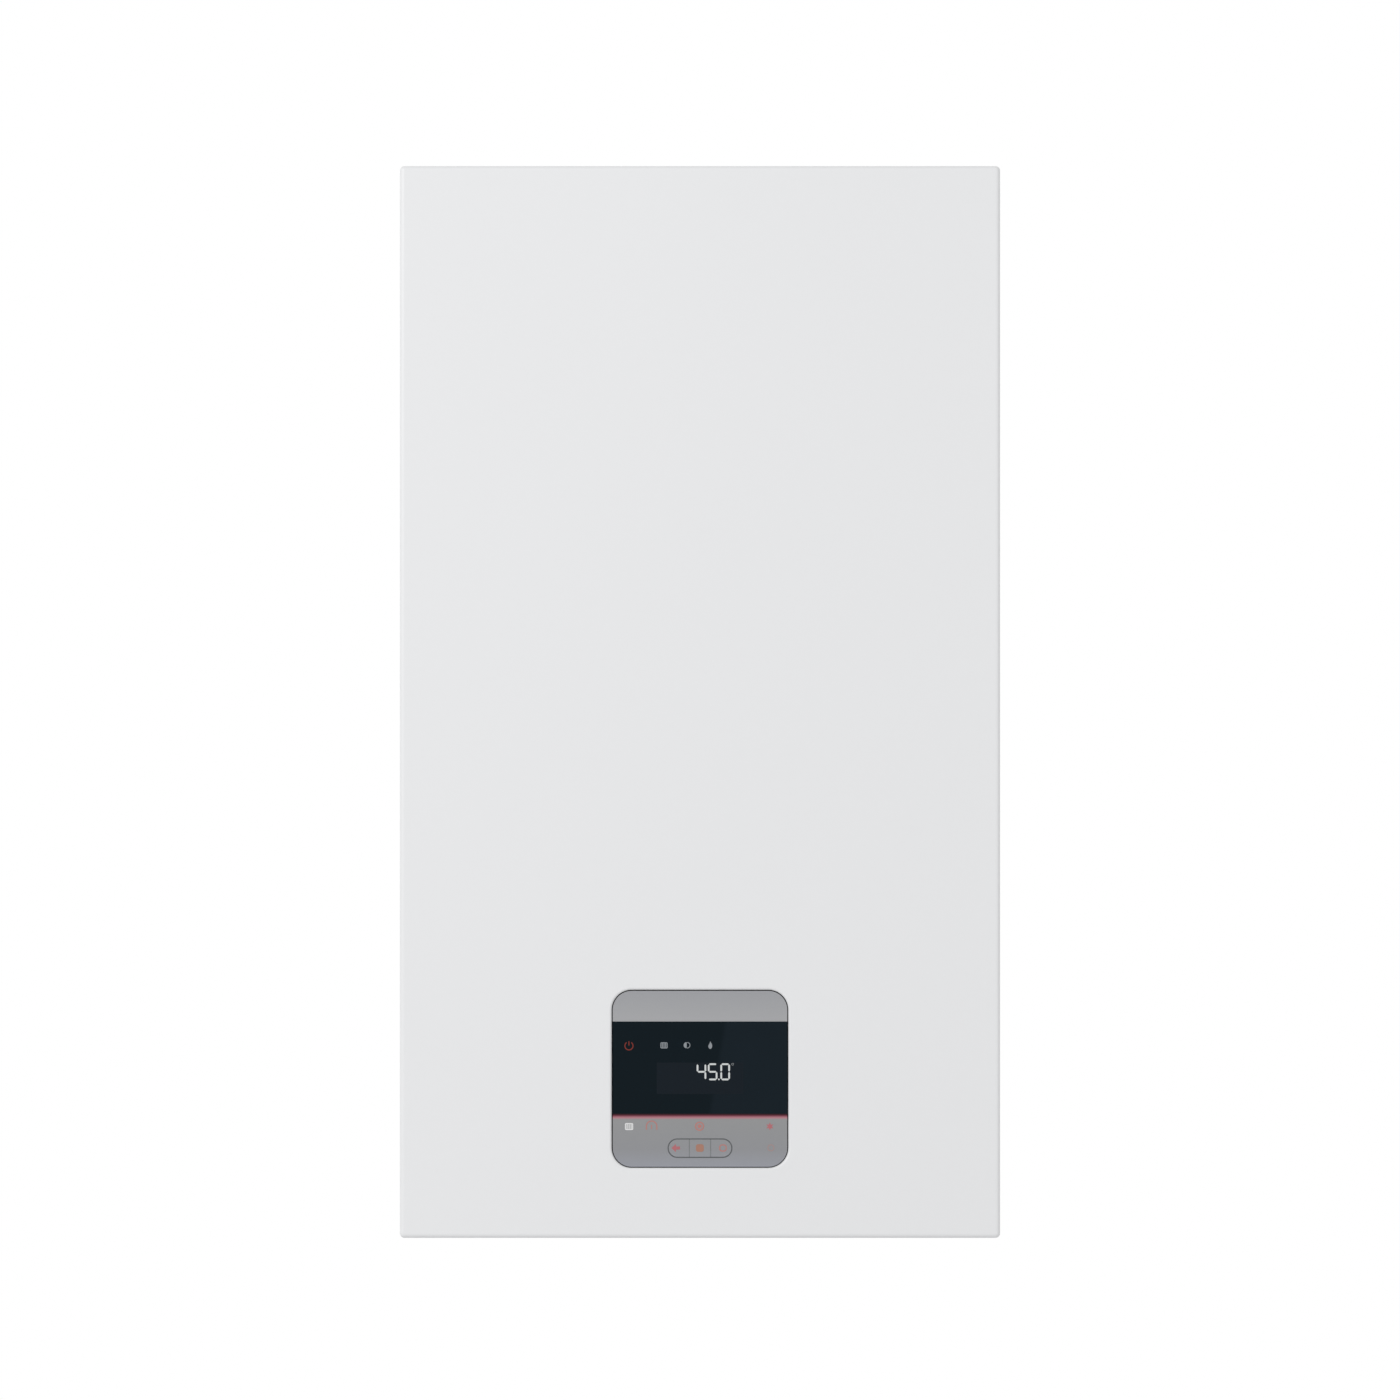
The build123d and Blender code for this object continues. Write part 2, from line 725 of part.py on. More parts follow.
def make_control_box_cover():
    """Rear cover of the control box, with a rim that locates inside the walls."""
    cover = slab(box_outline(0), 0, box_middle, box_back - box_wall, box_back)
    rim_front = box_back - 2 * box_wall
    rim = slab(box_outline(box_wall + fit_gap), 0, box_middle, rim_front, box_back - box_wall)
    rim -= slab(box_outline(2 * box_wall), 0, box_middle, rim_front - sheet, box_back - box_wall)
    return cover + rim


def key_places():
    """Across centres of the three keys."""
    side = (key_bar_width + key_share) / 4
    return [-side, 0.0, side]


def make_circuit_board():
    """Main board with its transformer, relays and plugs, and the display board behind the face."""
    board = slab(Rectangle(board_width, board_height), 0, box_middle,
                 board_front, board_front + board_thickness)
    left, top = -board_width / 2, box_middle + board_height / 2
    pieces = []
    tx, ty, tz = transformer_size
    x, z = left + 2 * tx, box_middle
    pieces.append(block(x - tx / 2, x + tx / 2, board_front - ty, board_front, z - tz / 2, z + tz / 2))
    rx, ry, rz = relay_size
    for k in range(relay_count):
        x, z = board_width / 4, box_middle + (k - (relay_count - 1) / 2) * relay_pitch
        pieces.append(block(x - rx / 2, x + rx / 2, board_front - ry, board_front, z - rz / 2, z + rz / 2))
    px, py, pz = plug_size
    for k in range(plug_count):
        x, z = (k - (plug_count - 1) / 2) * plug_pitch, top - pz
        pieces.append(block(x - px / 2, x + px / 2, board_front - py, board_front, z - pz / 2, z + pz / 2))
    face_board_front = box_front - board_thickness
    face_board = slab(Rectangle(face_board_size, face_board_size), 0, face_middle,
                      face_board_front, box_front)
    display = slab(Rectangle(display_width, display_height), 0, display_middle,
                   face_front + glass_thickness + display_gap, face_board_front)
    switches = [rod_y(switch_radius, x, key_bar_middle, switch_top, face_board_front) for x in key_places()]
    return board + pieces + face_board + display + switches


def make_fascia_frame():
    """Moulded face round the glass and the keys, standing on the control box."""
    plate = slab(face_outline(0), 0, face_middle, face_front, box_front)
    plate -= slab(face_outline(-face_skirt), 0, face_middle, face_back, box_front + 1)
    recess = wide(face_width, face_front - 1, face_front + glass_thickness,
                  glass_bottom - glass_gap, glass_bottom + glass_height + glass_gap)
    window_half = display_height / 2 + fit_gap
    window = wide(display_width / 2 + fit_gap, face_front, face_back + 1,
                  display_middle - window_half, display_middle + window_half)
    keys = slab(SlotOverall(key_bar_width + 2 * key_gap, key_bar_height + 2 * key_gap), 0, key_bar_middle,
                face_front - 1, face_back + 1)
    return plate - recess - window - keys


def make_display_glass():
    """Dark glass across the full width of the face."""
    whole = slab(face_outline(0), 0, face_middle, face_front, face_front + glass_thickness)
    return whole & wide(face_width, face_front - 1, face_back, glass_bottom, glass_bottom + glass_height)


def make_key(index):
    """One key of the pill-shaped row, with its retaining lip and the stem behind it."""
    edges = [-key_bar_width, -key_share / 2, key_share / 2, key_bar_width]
    x0 = edges[index] + (key_split / 2 if index > 0 else 0)
    x1 = edges[index + 1] - (key_split / 2 if index < 2 else 0)
    slot = SlotOverall(key_bar_width, key_bar_height)
    lip_shape = SlotOverall(key_bar_width + 2 * key_lip, key_bar_height + 2 * key_lip)
    lip_front = face_back + key_lip_gap
    lip_back = lip_front + key_lip_thickness
    key = slab(slot, 0, key_bar_middle, face_front, lip_back)
    key += slab(lip_shape, 0, key_bar_middle, lip_front, lip_back)
    key &= block(x0, x1, face_front - 1, lip_back + 1, 0, box_top)
    stem_end = switch_top - key_travel - glass_gap
    return key + rod_y(key_stem_radius, key_places()[index], key_bar_middle, lip_back - glass_gap, stem_end)


# ---- flue ----
def make_flue_collar():
    """Twin socket under the lid: outer air socket, inner flue socket and the spigot for the pipe."""
    outer = air_socket_radius + air_socket_wall
    collar = post(outer, 0, flue_y, air_socket_bottom, lid_bottom)
    collar += post(outer + collar_flange, 0, flue_y, lid_bottom - flange_thickness, lid_bottom)
    collar -= post(air_socket_radius, 0, flue_y, air_socket_bottom - 1, lid_bottom + 1)
    socket = post(flue_socket_radius + flue_wall, 0, flue_y, flue_socket_bottom - flue_wall, flue_mouth)
    socket -= post(flue_socket_radius, 0, flue_y, flue_socket_bottom, flue_mouth + 1)
    spigot_end = flue_socket_bottom - flue_wall - spigot_length
    socket += post(spigot_radius, 0, flue_y, spigot_end, flue_socket_bottom - flue_wall)
    socket -= post(spigot_radius - flue_wall, 0, flue_y, spigot_end - 1, flue_mouth)
    inside = flue_socket_radius + flue_wall / 2
    web = block(inside, air_socket_radius + air_socket_wall / 2, -web_thickness / 2, web_thickness / 2,
                air_socket_bottom, flue_mouth - flue_wall)
    webs = [Pos(0, flue_y, 0) * Rot(0, 0, a) * web for a in around(web_count)]
    return collar + socket + webs - collar_screw_holes(lid_bottom - 2 * flange_thickness, lid_bottom + 1)


def make_flue_pipe():
    """Short pipe from the burner cell's flue neck up to the socket's spigot."""
    radius = flue_socket_radius - fit_gap
    top = flue_socket_bottom - flue_wall - fit_gap
    bore = post(radius - flue_wall, 0, flue_y, flue_seat - 1, top + 1)
    return post(radius, 0, flue_y, flue_seat, top) - bore


# ---- burner cell ----
def stud_places():
    """Stud positions round the door, from its middle; none lies behind the mixing tube."""
    return [on_circle(stud_circle, a) for a in around(stud_count, half_step(stud_count))]


def stud_holes(y0, y1):
    """Holes for the door's studs between two depths."""
    return [rod_y(stud_radius + fit_gap, cell_x + x, cell_height + z, y0, y1) for x, z in stud_places()]


def header_places():
    """Across positions of the two water necks."""
    return [cell_x - header_offset, cell_x + header_offset]


def make_cell_bracket():
    """Plate across the chassis, in front of the expansion vessel, that carries the burner cell."""
    low, high = cell_height - cell_bracket_height / 2, cell_height + cell_bracket_height / 2
    plate = wide(inner_half, cell_bracket_front, cell_bracket_back, low, high)
    flange = block(inner_half - cell_bracket_sheet, inner_half, cell_bracket_front,
                   cell_bracket_front + panel_flange, low, high)
    return plate + both_sides(flange)


def make_heat_exchanger_shell():
    """Round shell of the burner cell with its door flange, water, drain and flue necks."""
    inner_radius = cell_radius - cell_wall
    shell = rod_y(cell_radius, cell_x, cell_height, cell_rear, flange_front)
    shell += rod_y(flange_radius, cell_x, cell_height, cell_front, flange_front)
    shell += post(flue_socket_radius + neck_wall, 0, flue_y, cell_height, flue_neck_top)
    for x in header_places():
        shell += post(header_radius + fit_gap + neck_wall, x, neck_y, neck_bottom, cell_height)
    shell += post(drain_radius + neck_wall, cell_x, trap_y, drain_bottom, cell_height)
    feet = [on_circle(cell_foot_circle, a) for a in around(cell_foot_count, 90)]
    shell += [rod_y(cell_foot_radius, cell_x + x, cell_height + z, cell_bracket_front, cell_rear)
              for x, z in feet]
    shell -= rod_y(inner_radius, cell_x, cell_height, cell_rear - cell_wall, flange_front - 1)
    shell -= post(flue_socket_radius, 0, flue_y, flue_seat, flue_neck_top + 1)
    shell -= post(flue_socket_radius - flue_wall - fit_gap, 0, flue_y, cell_height, flue_seat + 1)
    for x in header_places():
        shell -= post(header_radius + fit_gap, x, neck_y, neck_bottom - 1, cell_height)
    shell -= post(drain_radius, cell_x, trap_y, drain_bottom - 1, cell_height)
    return shell - stud_holes(cell_front + 1, flange_front - 1)


def make_heat_exchanger_coil():
    """Water rings side by side, joined by two headers whose ends leave through the shell's necks."""
    first = coil_back - coil_pitch * (coil_turns - 1)
    ring = Rot(90, 0, 0) * Torus(coil_radius, coil_tube_radius)
    coil = Pos(cell_x, first, cell_height) * ring
    for k in range(1, coil_turns):
        coil += Pos(cell_x, first + k * coil_pitch, cell_height) * ring
    drop = math.sqrt(coil_radius ** 2 - header_offset ** 2)
    for x in header_places():
        coil += rod_y(header_radius, x, cell_height - drop, first, coil_back)
        coil += post(header_radius, x, neck_y, neck_bottom, cell_height - drop)
    return coil


def make_burner_gasket():
    """Flat gasket between the cell's flange and the door."""
    ring = rod_y(flange_radius, cell_x, cell_height, door_back, flange_front)
    ring -= rod_y(gasket_inner, cell_x, cell_height, door_back - 1, flange_front + 1)
    return ring - stud_holes(door_back - 1, flange_front + 1)


def electrode_place():
    """Where the ignition electrode passes the door."""
    x, z = on_circle(electrode_out, electrode_angle)
    return cell_x + x, cell_height + z


def make_burner_door():
    """Cast door with a central boss for the mixing tube and raised ribs towards the studs."""
    door = rod_y(flange_radius, cell_x, cell_height, door_front, door_back)
    door += rod_y(door_boss_radius, cell_x, cell_height, door_boss_front, door_front)
    length = stud_circle - 2 * stud_nut_radius
    half = door_rib_width / 2
    rib = block(0, length, door_front - door_rib_height, door_front, -half, half)
    door += [Pos(cell_x, 0, cell_height) * Rot(0, a, 0) * rib
             for a in around(stud_count, half_step(stud_count))]
    door -= rod_y(mixing_radius - tube_wall, cell_x, cell_height, door_boss_front - 1, door_back + 1)
    x, z = electrode_place()
    door -= rod_y(electrode_ceramic_radius + fit_gap, x, z, door_front - door_boss_height, door_back + 1)
    return door - stud_holes(door_front - door_boss_height, door_back + 1)


def make_door_nuts():
    """Studs through the flange, gasket and door, with their nuts."""
    nuts = []
    for x, z in stud_places():
        x, z = cell_x + x, cell_height + z
        nut_front = door_front - stud_nut_height
        stud = rod_y(stud_radius, x, z, nut_front - stud_radius, cell_front)
        stud += rod_y(stud_nut_radius, x, z, nut_front, door_front)
        nuts.append(stud + rod_y(stud_nut_radius, x, z, cell_front, cell_front + stud_radius))
    return Part() + nuts


def make_burner_tube():
    """Closed sheet tube that the flame burns on, with its flange against the door."""
    end = door_back + burner_share * cell_length
    tube = rod_y(burner_radius, cell_x, cell_height, door_back, end)
    tube += rod_y(burner_radius + burner_flange, cell_x, cell_height, door_back, door_back + burner_wall)
    return tube - rod_y(burner_radius - burner_wall, cell_x, cell_height, door_back - 1, end - burner_wall)


def make_ignition_electrode():
    """Spark electrode: ceramic body, fixing plate and wire."""
    x, z = electrode_place()
    ceramic = rod_y(electrode_ceramic_radius, x, z, door_front - electrode_head, door_back)
    plate = rod_y(2 * electrode_ceramic_radius, x, z, door_front - burner_wall, door_front)
    tip = door_back + electrode_share * cell_length
    return ceramic + plate + rod_y(electrode_radius, x, z, door_back, tip)


# ---- fan and mixing tube ----
def make_mixing_elbow():
    """Tube from the fan round to the middle of the door, with a flange at each end."""
    crossing = door_boss_front - mixing_flange_thickness - mixing_bend
    points = [(outlet_x, outlet_y, cell_height), (outlet_x, crossing, cell_height),
              (cell_x, crossing, cell_height), (cell_x, door_boss_front, cell_height)]
    elbow = rod_along(points, mixing_bend, mixing_radius)
    elbow += rod_y(fan_flange_radius, outlet_x, cell_height, outlet_y - mixing_flange_thickness, outlet_y)
    elbow += rod_y(mixing_flange_radius, cell_x, cell_height, door_boss_front - mixing_flange_thickness,
                   door_boss_front)
    return elbow - rod_along(points, mixing_bend, mixing_radius - tube_wall)


def make_fan_housing():
    """Round fan casing with its outlet towards the front and an inlet underneath."""
    flange_back = outlet_y + fan_wall
    housing = post(fan_radius, fan_x, fan_y, fan_bottom, fan_top)
    housing += rod_y(fan_outlet_radius, outlet_x, cell_height, outlet_y, fan_y)
    housing += rod_y(fan_flange_radius, outlet_x, cell_height, outlet_y, flange_back)
    housing -= post(fan_radius - fan_wall, fan_x, fan_y, fan_bottom + fan_wall, fan_top - fan_wall)
    housing -= rod_y(fan_outlet_radius - fan_wall, outlet_x, cell_height, outlet_y - 1, fan_y)
    housing -= post(intake_radius - neck_wall, fan_x, fan_y, fan_bottom - 1, cell_height)
    return housing - post(shaft_radius + fan_wall, fan_x, fan_y, cell_height, fan_top + 1)


def make_fan_rotor():
    """Impeller with its back plate, blades, hub and shaft."""
    outer = fan_radius - fan_wall - impeller_gap
    low, high = fan_bottom + 2 * fan_wall, fan_top - 3 * fan_wall
    rotor = post(outer, fan_x, fan_y, high - blade_thickness, high)
    rotor += post(impeller_hub_radius, fan_x, fan_y, low, high)
    rotor += post(shaft_radius, fan_x, fan_y, high, fan_top + fan_shaft_in_motor)
    blade = block(impeller_inner_radius, outer, -blade_thickness / 2, blade_thickness / 2, low, high)
    return rotor + [Pos(fan_x, fan_y, 0) * Rot(0, 0, a) * blade for a in around(impeller_blades)]


def make_fan_motor():
    """Motor can on top of the fan housing."""
    motor = post(motor_radius, fan_x, fan_y, fan_top, fan_top + motor_height)
    motor = fillet(motor.faces().sort_by(Axis.Z)[-1].edges(), 2 * fan_wall)
    bore_top = fan_top + fan_shaft_in_motor + 1
    return motor - post(shaft_radius + shaft_running_gap, fan_x, fan_y, fan_top - 1, bore_top)


def make_air_intake():
    """Throat under the fan that draws air past the gas port, with a flared mouth."""
    throat = intake_throat_z
    middle = (intake_throat_z + intake_bottom) / 2
    inner_top = intake_radius - neck_wall
    corners = [(inner_top, fan_bottom), (intake_radius, fan_bottom), (intake_radius, throat),
               (intake_throat + 2 * fan_wall, throat), (intake_throat + 2 * fan_wall, middle),
               (intake_mouth, intake_bottom), (intake_mouth - fan_wall, intake_bottom),
               (intake_throat + fan_wall, middle), (intake_throat, throat)]
    profile = Plane.XZ * make_face(Polyline(*corners, close=True))
    intake = Pos(fan_x, fan_y, 0) * revolve(profile, Axis.Z)
    boss_x = fan_x + intake_radius + boss_height
    height = (fan_bottom + throat) / 2
    intake += rod_x(gas_feed_radius + boss_height, fan_y, height, fan_x + intake_radius - 1, boss_x)
    return intake - rod_x(gas_feed_radius - pipe_wall, fan_y, height, fan_x + intake_throat, boss_x + 1)


# ---- gas train ----
def make_gas_valve():
    """Gas valve body with inlet and outlet bosses, two coil caps and a regulator cap."""
    x0, x1 = fan_x - gas_valve_width / 2, fan_x + gas_valve_width / 2
    y0, y1 = fan_y - gas_valve_depth / 2, fan_y + gas_valve_depth / 2
    body = block(x0, x1, y0, y1, gas_valve_bottom + boss_height, gas_valve_top - boss_height)
    body = fillet(body.edges(), boss_height)
    middle = (gas_valve_bottom + gas_valve_top) / 2
    for k in (-1, 1):
        cap_x = fan_x + k * (gas_cap_radius - gas_cap_overlap)
        body += rod_y(gas_cap_radius - gas_cap_inset, cap_x, middle + k * boss_height,
                      y0 - gas_cap_height, y0)
    body += post(gas_pipe_radius + boss_height, fan_x, fan_y,
                 gas_valve_bottom, gas_valve_bottom + 2 * boss_height)
    body += post(gas_feed_radius + boss_height, gas_out_x, fan_y,
                 gas_valve_top - 2 * boss_height, gas_valve_top)
    return body


def make_gas_pipes():
    """Pipe from the gas connection to the valve, and the feed from the valve to the air intake."""
    y = connection_y
    step = collar_top + gas_step
    high = gas_valve_bottom - gas_run_share * train_height
    inlet = pipe([(0, y, collar_top), (0, y, step), (0, fan_y, step), (0, fan_y, high),
                  (fan_x, fan_y, high), (fan_x, fan_y, gas_valve_bottom)], pipe_bend, gas_pipe_radius)
    side = fan_x + intake_radius + boss_height
    out = side + gas_feed_reach
    port = (fan_bottom + intake_throat_z) / 2
    lift = gas_valve_top + gas_feed_lift
    feed = pipe([(gas_out_x, fan_y, gas_valve_top), (gas_out_x, fan_y, lift), (out, fan_y, lift),
                 (out, fan_y, port), (side, fan_y, port)], gas_feed_bend, gas_feed_radius)
    return Part() + [inlet, feed]


# ---- expansion vessel ----
def vessel_outline(grow):
    """Outline of the expansion vessel, grown all round."""
    return RectangleRounded(vessel_width + 2 * grow, vessel_height + 2 * grow, vessel_corner + grow)


def vessel_half(end, inward):
    """One pressed half shell, from the membrane's face to the given end."""
    seam = seam_y + inward * membrane / 2
    outer = slab(vessel_outline(0), 0, vessel_middle, seam, end)
    inner = slab(vessel_outline(-vessel_wall), 0, vessel_middle, seam, end - inward * vessel_wall)
    far = -1 if inward > 0 else 0
    outer = fillet(outer.faces().sort_by(Axis.Y)[far].edges(), vessel_edge)
    inner = fillet(inner.faces().sort_by(Axis.Y)[far].edges(), vessel_edge - vessel_wall)
    flange = slab(vessel_outline(vessel_seam), 0, vessel_middle, seam, seam + inward * seam_thickness)
    return outer + flange - inner


def make_vessel_shells():
    """Front and rear half shells of the flat expansion vessel, the rear one with its water port."""
    rear = vessel_half(vessel_back, 1)
    port_end = vessel_bottom - vessel_port_drop
    rear += post(vessel_hose_radius + 1, return_x, vessel_port_y, port_end, vessel_bottom + vessel_wall)
    rear -= post(vessel_hose_radius - pipe_wall, return_x, vessel_port_y,
                 port_end - 1, vessel_bottom + 2 * vessel_wall)
    return Part() + [rear, vessel_half(vessel_front, -1)]


def make_vessel_diaphragm():
    """Rubber sheet clamped between the half shells."""
    half = membrane / 2
    return slab(vessel_outline(vessel_seam), 0, vessel_middle, seam_y - half, seam_y + half)


# ---- pump and hydraulic blocks ----
def make_pump_housing():
    """Round pump body, open towards the motor, with its inlet below and outlet above."""
    housing = rod_y(pump_radius, return_x, pump_height, pump_front, pump_back)
    housing += post(pump_port_radius, return_x, connection_y, return_block_top, pump_height)
    housing += post(pump_port_radius, pump_outlet_x, connection_y, pump_height, pump_outlet_top)
    housing -= rod_y(pump_radius - pump_wall, return_x, pump_height, pump_front - 1, pump_back - pump_wall)
    bore = pump_port_radius - pump_wall
    housing -= post(bore, return_x, connection_y, return_block_top - 1, pump_height)
    return housing - post(bore, pump_outlet_x, connection_y, pump_height, pump_outlet_top + 1)


def make_pump_rotor():
    """Pump impeller and its shaft."""
    back = pump_back - 2 * pump_wall
    rotor = rod_y(pump_rotor_radius, return_x, pump_height, back - pump_rotor_width, back)
    face, half = back - pump_rotor_width, pump_blade_thickness / 2
    blade = block(pump_rotor_radius / 2, pump_rotor_radius, face - pump_blade_height, face, -half, half)
    blades = [Pos(return_x, 0, pump_height) * Rot(0, a, 0) * blade for a in around(pump_blade_count)]
    return rotor + blades + rod_y(shaft_radius, return_x, pump_height, pump_front - pump_shaft_length, back)


def make_pump_motor():
    """Pump motor on the front of the pump body, with its rounded cap and terminal box."""
    front = pump_front - pump_motor_length
    motor = rod_y(pump_motor_radius, return_x, pump_height, front, pump_front)
    motor = fillet(motor.faces().sort_by(Axis.Y)[0].edges(), 2 * pump_wall)
    high = pump_height + pump_motor_radius
    motor += block(return_x - pump_port_radius, return_x + pump_port_radius, front + 3 * pump_wall,
                   pump_front - pump_wall, pump_height, high + 2 * pump_wall)
    bore_end = pump_front - pump_shaft_length - 1
    return motor - rod_y(shaft_radius + shaft_running_gap, return_x, pump_height, bore_end, pump_front + 1)


def make_return_block():
    """Return manifold under the pump, with the branch from the plate exchanger and its side ports."""
    body_radius = pump_port_radius + boss_height
    y = connection_y
    route = [(cold_x, port_y, high_port), (cold_x, branch_y, high_port), (return_x, branch_y, high_port),
             (return_x, branch_y, branch_height), (return_x, y, branch_height)]
    bends = small_pipe_radius + boss_height / 2
    manifold = post(body_radius, return_x, y, collar_top, return_block_top)
    manifold += rod_along(route, bends, small_pipe_radius)
    manifold += rod_x(filling_tube_radius + 1, y, filling_height, return_x - body_radius - boss_reach,
                      return_x)
    spigot_back = vessel_port_y - vessel_hose_bend
    manifold += rod_y(vessel_hose_radius + 1, return_x, vessel_hose_height, branch_y, spigot_back)
    manifold -= rod_along(route, bends, small_pipe_radius - pipe_wall)
    return manifold - post(pump_port_radius - pump_wall, return_x, y, collar_top - 1, return_block_top + 1)


def make_plate_heat_exchanger():
    """Pack of brazed plates with four ports on its front."""
    pitch = 2 * plate_thickness / (2 * plate_count - 1)
    pack = slab(RectangleRounded(plate_width - 2 * plate_inset, plate_height - 2 * plate_inset, pipe_bend),
                0, plate_middle, plate_front, plate_back)
    for k in range(plate_count):
        y = plate_front + k * pitch
        plate = RectangleRounded(plate_width, plate_height, pipe_bend)
        pack += slab(plate, 0, plate_middle, y, y + pitch / 2)
    for z in (low_port, high_port):
        for x in (hot_x, cold_x):
            pack += rod_y(plate_port_radius, x, z, port_y, plate_front)
    return pack


def make_flow_block():
    """Diverter valve body: heating outlet below, boiler inlet in front, exchanger outlet on the side."""
    y = connection_y
    body = post(valve_body_radius, flow_x, y, collar_top, valve_top)
    inlet_front = y - valve_boss_reach
    branch_end = flow_x + valve_boss_reach + boss_reach
    relief_end_x = flow_x - valve_body_radius - boss_reach
    body += rod_y(valve_boss_radius, flow_x, valve_inlet_height, inlet_front, y)
    body += rod_x(valve_boss_radius, y, high_port, flow_x, branch_end)
    body += rod_x(spout_radius, y, relief_height, relief_end_x, flow_x)
    body -= post(valve_body_radius - valve_wall, flow_x, y, valve_seat, valve_top - 2 * valve_wall)
    body -= post(large_connection_radius - connection_wall, flow_x, y, collar_top - 1, valve_seat + 1)
    body -= rod_y(pipe_radius - pipe_wall, flow_x, valve_inlet_height, inlet_front - 1, y)
    body -= rod_x(small_pipe_radius - pipe_wall, y, high_port, flow_x, branch_end + 1)
    body -= rod_x(small_pipe_radius - pipe_wall, y, relief_height, relief_end_x - 1, flow_x)
    return body - post(spindle_radius + shaft_running_gap, flow_x, y, valve_seat, valve_top + 1)


def make_diverter_stem():
    """Valve stem with the disc that opens and closes the heating outlet."""
    low = valve_seat + fit_gap
    disc_radius = valve_body_radius - valve_wall - valve_disc_gap
    stem = post(disc_radius, flow_x, connection_y, low, low + valve_disc_thickness)
    return stem + post(spindle_radius, flow_x, connection_y, low, low + stem_length)


def make_diverter_actuator():
    """Motor head on top of the diverter valve."""
    half = actuator_size / 2
    head = block(flow_x - half, flow_x + half, connection_y - half, connection_y + half,
                 valve_top, valve_top + actuator_length)
    head = fillet(head.edges().filter_by(Axis.Z) + head.faces().sort_by(Axis.Z)[-1].edges(), pump_wall)
    bore_top = valve_seat + stem_length + valve_stroke + stem_clearance
    return head - post(spindle_radius + fit_gap, flow_x, connection_y, valve_top - 1, bore_top)


def make_heating_pipes():
    """Boiler flow and return pipes, the link to the plate exchanger and the vessel's hose."""
    y = connection_y
    flow_neck, return_neck = header_places()
    forward = y - valve_boss_reach - 2 * pipe_radius
    turn = (neck_bottom + valve_top + actuator_length) / 2
    flow = pipe([(flow_neck, neck_y, neck_bottom), (flow_neck, neck_y, turn), (flow_x, forward, turn),
                 (flow_x, forward, valve_inlet_height), (flow_x, y - valve_boss_reach, valve_inlet_height)],
                pipe_bend, pipe_radius)
    low = pump_outlet_top + 2 * pipe_bend
    back = pipe([(pump_outlet_x, y, pump_outlet_top), (pump_outlet_x, y, low), (return_neck, neck_y, low),
                 (return_neck, neck_y, neck_bottom)], pipe_bend, pipe_radius)
    link = pipe([(flow_x + valve_boss_reach + boss_reach, y, high_port), (hot_x, y, high_port),
                 (hot_x, port_y, high_port)], pipe_bend, small_pipe_radius)
    hose_y = vessel_port_y
    hose = pipe([(return_x, hose_y, vessel_bottom - vessel_port_drop),
                 (return_x, hose_y, vessel_hose_height),
                 (return_x, hose_y - vessel_hose_bend, vessel_hose_height)],
                vessel_hose_bend - 1, vessel_hose_radius)
    return Part() + [flow, back, link, hose]


def make_water_pipes():
    """Hot water pipe down to its connection, and the cold pipe from the flow sensor."""
    y = connection_y
    hot = pipe([(hot_x, port_y, low_port), (hot_x, y, low_port), (hot_x, y, collar_top)],
               pipe_bend, small_pipe_radius)
    cold = pipe([(cold_x, port_y, low_port), (cold_x, y, low_port), (cold_x, y, sensor_top)],
                pipe_bend, small_pipe_radius)
    return Part() + [hot, cold]


def make_pipe_connections():
    """The five threaded connections under the boiler, each with a collar on the bottom panel."""
    nipples = []
    for x, radius in connection_places():
        nipple = post(radius, x, connection_y, connection_end, collar_top)
        nipple += post(radius + collar_width, x, connection_y, bottom_panel_top, collar_top)
        nipples.append(nipple - post(radius - connection_wall, x, connection_y, 0, collar_top + 1))
    return Part() + nipples


def make_safety_valve():
    """Pressure relief valve beside the diverter valve, with its discharge pipe down."""
    y = connection_y
    low = relief_height - relief_body_height / 2
    high = relief_height + relief_body_height / 2
    inlet_end = flow_x - valve_body_radius - boss_reach
    valve = post(relief_radius, relief_x, y, low, high)
    valve += rod_x(spout_radius - 1, y, relief_height, relief_x, inlet_end)
    valve += post(relief_outlet_radius, relief_x, y, relief_end, low)
    valve -= post(relief_outlet_radius - pipe_wall, relief_x, y, relief_end - 1, relief_height)
    return valve + post(spindle_radius, relief_x, y, high, high + relief_knob_height / 2)


def knurled_knob(radius, x, y, z0, z1):
    """A round knob with finger grooves down its side."""
    knob = post(radius, x, y, z0, z1)
    places = [on_circle(radius + 1, a) for a in around(groove_count)]
    return knob - [post(radius * knob_groove_share, x + gx, y + gy, z0 - 1, z1 + 1) for gx, gy in places]


def make_safety_valve_knob():
    """Turning knob that lifts the relief valve."""
    low = relief_height + relief_body_height / 2 + knob_gap / 2
    knob = knurled_knob(relief_knob_radius, relief_x, connection_y, low, low + relief_knob_height)
    bore_top = low + relief_knob_height / 2
    return knob - post(spindle_radius + shaft_running_gap, relief_x, connection_y, low - 1, bore_top)


def make_filling_tap():
    """Tap that lets cold water into the heating circuit, its spindle pointing down."""
    y = connection_y
    low = filling_height - filling_body_height / 2
    tap = post(filling_radius, filling_x, y, low, low + filling_body_height)
    tap += rod_x(filling_tube_radius, y, filling_height, filling_left, filling_right)
    tap -= rod_x(filling_tube_radius - pipe_wall, y, filling_height, filling_left - 1,
                 filling_x - filling_radius + boss_reach)
    tap -= rod_x(filling_tube_radius - pipe_wall, y, filling_height,
                 filling_x + filling_radius - boss_reach, filling_right + 1)
    return tap + post(spindle_radius, filling_x, y, filling_knob_end + filling_spindle_end, low)


def make_filling_knob():
    """Knob of the filling tap, under the bottom panel."""
    knob = knurled_knob(filling_knob_radius, filling_x, connection_y, filling_knob_end,
                        filling_knob_end + filling_knob_height)
    bore = post(spindle_radius + shaft_running_gap, filling_x, connection_y,
                filling_knob_end + filling_bore_floor, filling_knob_end + filling_knob_height + 1)
    return knob - bore


